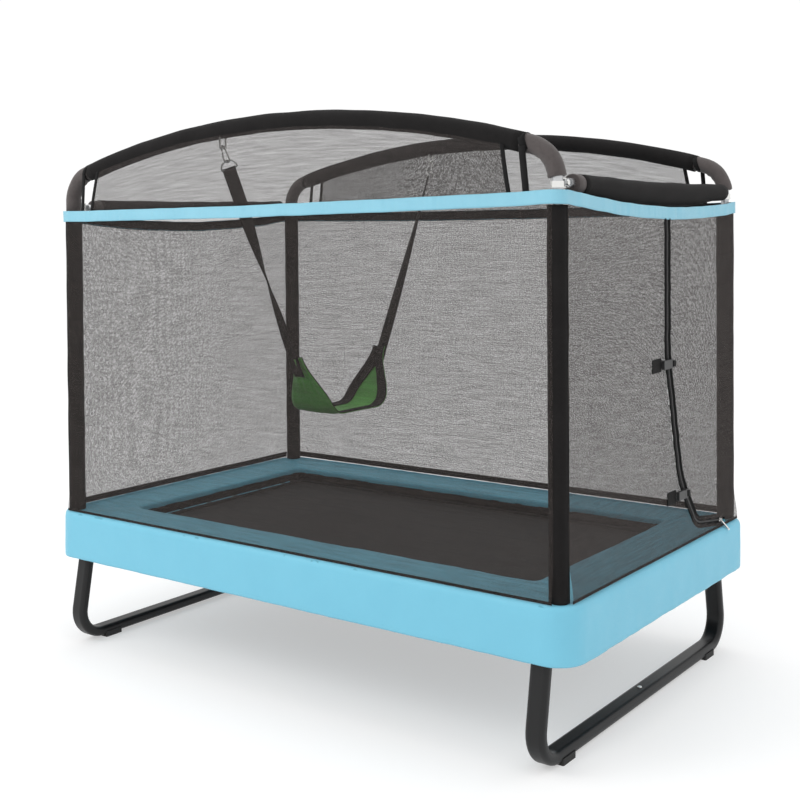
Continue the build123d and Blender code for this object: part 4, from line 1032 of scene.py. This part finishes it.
padX, padY = padHigh.x, padHigh.y
outer, inner = pairedLoops((padX, padY, pad["cornerOut"]), (pad["openX"], pad["openY"], pad["cornerIn"]))
top, low = padHigh.z, padLow.z
outline = [(0.0, low + 0.002), (0.0, top - 0.008), (0.012, top - 0.003), (0.035, top - 0.001)]
for i in range(1, pad["count"]):
    share = i / pad["count"]
    outline.append((share, top - 0.001 + pad["crown"] * math.sin(math.pi * share) - 0.0004))
outline += [(0.965, top - 0.002), (0.985, top - 0.005), (0.987, top - 0.010), (0.982, low + 0.002), (0.5, low)]
bm = weld(sweep(ringFrames(outer, inner), outline, ring=True, loop=True))
for vert in bm.verts:
    lift = 0.0014 * wander((vert.co.x, vert.co.y, 0), 9.0, 1) + 0.0007 * wander((vert.co.x, vert.co.y, 0), 30.0, 3)
    mitre = abs((padX - abs(vert.co.x)) - (padY - abs(vert.co.y)))
    inCorner = abs(vert.co.x) > pad["openX"] - 0.01 and abs(vert.co.y) > pad["openY"] - 0.01
    if vert.co.z > top - 0.006:
        vert.co.z += lift - (0.0028 * math.exp(-(mitre / 0.009) ** 2) if inCorner else 0.0)
piece = makePiece("safety_pad_cover", bm, padBlue, nodes=["safety_pad"])

skirt = {"corner": 0.078, "wall": 0.0016}
low, top = skirtLow.z, skirtHigh.z
outline = [(-0.0012, low)]
outline += [(0.0, mixed(low + 0.004, top - 0.012, i / 9)) for i in range(10)]
outline += [(-0.001, top - 0.004), (-0.0035, top + 0.002), (-0.008, top + 0.0062), (-0.014, top + 0.0078),
            (-0.021, top + 0.0084)]
loop = roundedLoop(skirtHigh.x - 0.001, skirtHigh.y - 0.001, skirt["corner"], 0.012, 17)
bm = weld(sweep(framesAlong(loop, upZ, True), outline, ring=False, loop=True))
bm.normal_update()
for vert in bm.verts:
    down = ease((skirtHigh.z - vert.co.z) / 0.11)
    hang = 0.0032 * wander((vert.co.x, vert.co.y, vert.co.z * 0.35), 11.0, 6) * down
    pucker = 0.0009 * wander((vert.co.x, vert.co.y, vert.co.z * 0.5), 46.0, 2)
    vert.co += vert.normal * (hang + pucker)
piece = makePiece("skirt_cloth", bm, skirtBlue, nodes=["pad_skirt"], wall=skirt["wall"], offset=-1,
                  sharp=80)

stripLow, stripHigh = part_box("pad_inner_strip")
loop = roundedLoop(pad["openX"] + 0.0005, pad["openY"] + 0.0005, pad["cornerIn"], 0.015, 9)
outline = [(0.0, mixed(stripLow.z, stripHigh.z + 0.004, i / 3)) for i in range(4)]
bm = rumple(weld(sweep(framesAlong(loop, upZ, True), outline, ring=False, loop=True)), 0.0016, 22.0, 4)
piece = makePiece("opening_strip", bm, webbingBlack, nodes=["pad_inner_strip"], wall=0.0010)
print("pad and skirt made")

# ---- jumping mat: four flat cloth sectors, cut along its diagonals
matLow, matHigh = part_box("jumping_mat")
halfX, halfY = matHigh.x, matHigh.y
matZ = (matLow.z + matHigh.z) / 2
sectors = {"right": (Vector((1, 0, 0)), halfX), "left": (Vector((-1, 0, 0)), halfX),
           "front": (Vector((0, -1, 0)), halfY), "back": (Vector((0, 1, 0)), halfY)}
for name, (outward, reach) in sectors.items():
    bm = clothGrid(2 * halfX, 2 * halfY, 0.02, lambda u, v: Vector((u - halfX, v - halfY, matZ)))
    for slope in (1, -1):
        # keep the side of each diagonal that this sector is on
        normal = Vector((halfY, slope * halfX, 0)).normalized()
        if normal.dot(outward) < 0:
            normal = -normal
        geometry = bm.verts[:] + bm.edges[:] + bm.faces[:]
        bmesh.ops.bisect_plane(bm, geom=geometry, plane_co=(0, 0, matZ), plane_no=normal, clear_inner=True)
    bmesh.ops.recalc_face_normals(bm, faces=bm.faces)
    if bm.faces[:][0].normal.z < 0:
        bmesh.ops.reverse_faces(bm, faces=bm.faces)
    piece = makePiece(f"mat_cloth_{name}", bm, matCloth, body="", nodes=["jumping_mat"])
    wide = 2 * (halfY if reach == halfX else halfX)
    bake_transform(piece)
print("mat made")

hemLow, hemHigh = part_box("mat_hem")
outer, inner = pairedLoops((hemHigh.x, hemHigh.y, 0.06), (hemHigh.x - 0.03, hemHigh.y - 0.03, 0.03))
outline = [(0.0, hemLow.z), (0.0, hemHigh.z - 0.001), (0.05, hemHigh.z), (0.95, hemHigh.z),
           (1.0, hemHigh.z - 0.001), (1.0, hemLow.z)]
bm = weld(sweep(ringFrames(outer, inner), outline, ring=True, loop=True))
piece = makePiece("mat_edge_webbing", bm, webbingBlack, nodes=["mat_hem"])
print("mat edge made")

# ---- floor, light and camera
bm = bmesh.new()
bmesh.ops.create_grid(bm, x_segments=1, y_segments=1, size=30)
mesh = bpy.data.meshes.new("studio_floor")
bm.to_mesh(mesh)
bm.free()
floor = bpy.data.objects.new("studio_floor", mesh)
scene.collection.objects.link(floor)
floorWhite, tree, shader, coords = startMaterial("floorWhite", (0.60, 0.60, 0.60), 0.9, Specular_IOR_Level=0.0,
                                                  Emission_Color=(1, 1, 1, 1), Emission_Strength=0.42)
mesh.materials.append(floorWhite)

world = bpy.data.worlds.new("studio")
world.use_nodes = True
world.node_tree.nodes["Background"].inputs["Color"].default_value = (1, 1, 1, 1)
world.node_tree.nodes["Background"].inputs["Strength"].default_value = 1.02
scene.world = world


def softBox(name, place, target, wide, tall, power):
    light = bpy.data.lights.new(name, "AREA")
    light.shape = "RECTANGLE"
    light.size, light.size_y = wide, tall
    light.energy = power
    lamp = bpy.data.objects.new(name, light)
    scene.collection.objects.link(lamp)
    lamp.location = place
    lamp.rotation_mode = "QUATERNION"
    lamp.rotation_quaternion = (Vector(target) - Vector(place)).to_track_quat("-Z", "Y")


softBox("key", (-2.2, -3.6, 3.8), (0, 0, 0.8), 2.6, 2.0, 62)
softBox("over", (0.4, 0.4, 4.4), (0, 0, 0.5), 3.4, 3.0, 34)

view = {"place": (2.2434, -2.9826, 1.2736), "yaw": 35.497, "pitch": 1.288, "roll": -0.391,
        "lens": 54.97, "shiftX": -0.0290, "shiftY": -0.1787}
yaw, pitch, roll = (math.radians(view[part]) for part in ("yaw", "pitch", "roll"))
forward = Vector((-math.sin(yaw) * math.cos(pitch), math.cos(yaw) * math.cos(pitch), -math.sin(pitch)))
right = forward.cross(upZ).normalized()
upward = right.cross(forward)
camX = math.cos(roll) * right + math.sin(roll) * upward
camY = math.cos(roll) * upward - math.sin(roll) * right
lens = bpy.data.cameras.new("view")
lens.lens = view["lens"]
lens.shift_x, lens.shift_y = view["shiftX"], view["shiftY"]
camera = bpy.data.objects.new("view", lens)
scene.collection.objects.link(camera)
camera.matrix_world = Matrix.Translation(view["place"]) @ Matrix((camX, camY, -forward)).transposed().to_4x4()
scene.camera = camera
print("stage set")

bpy.context.view_layer.update()
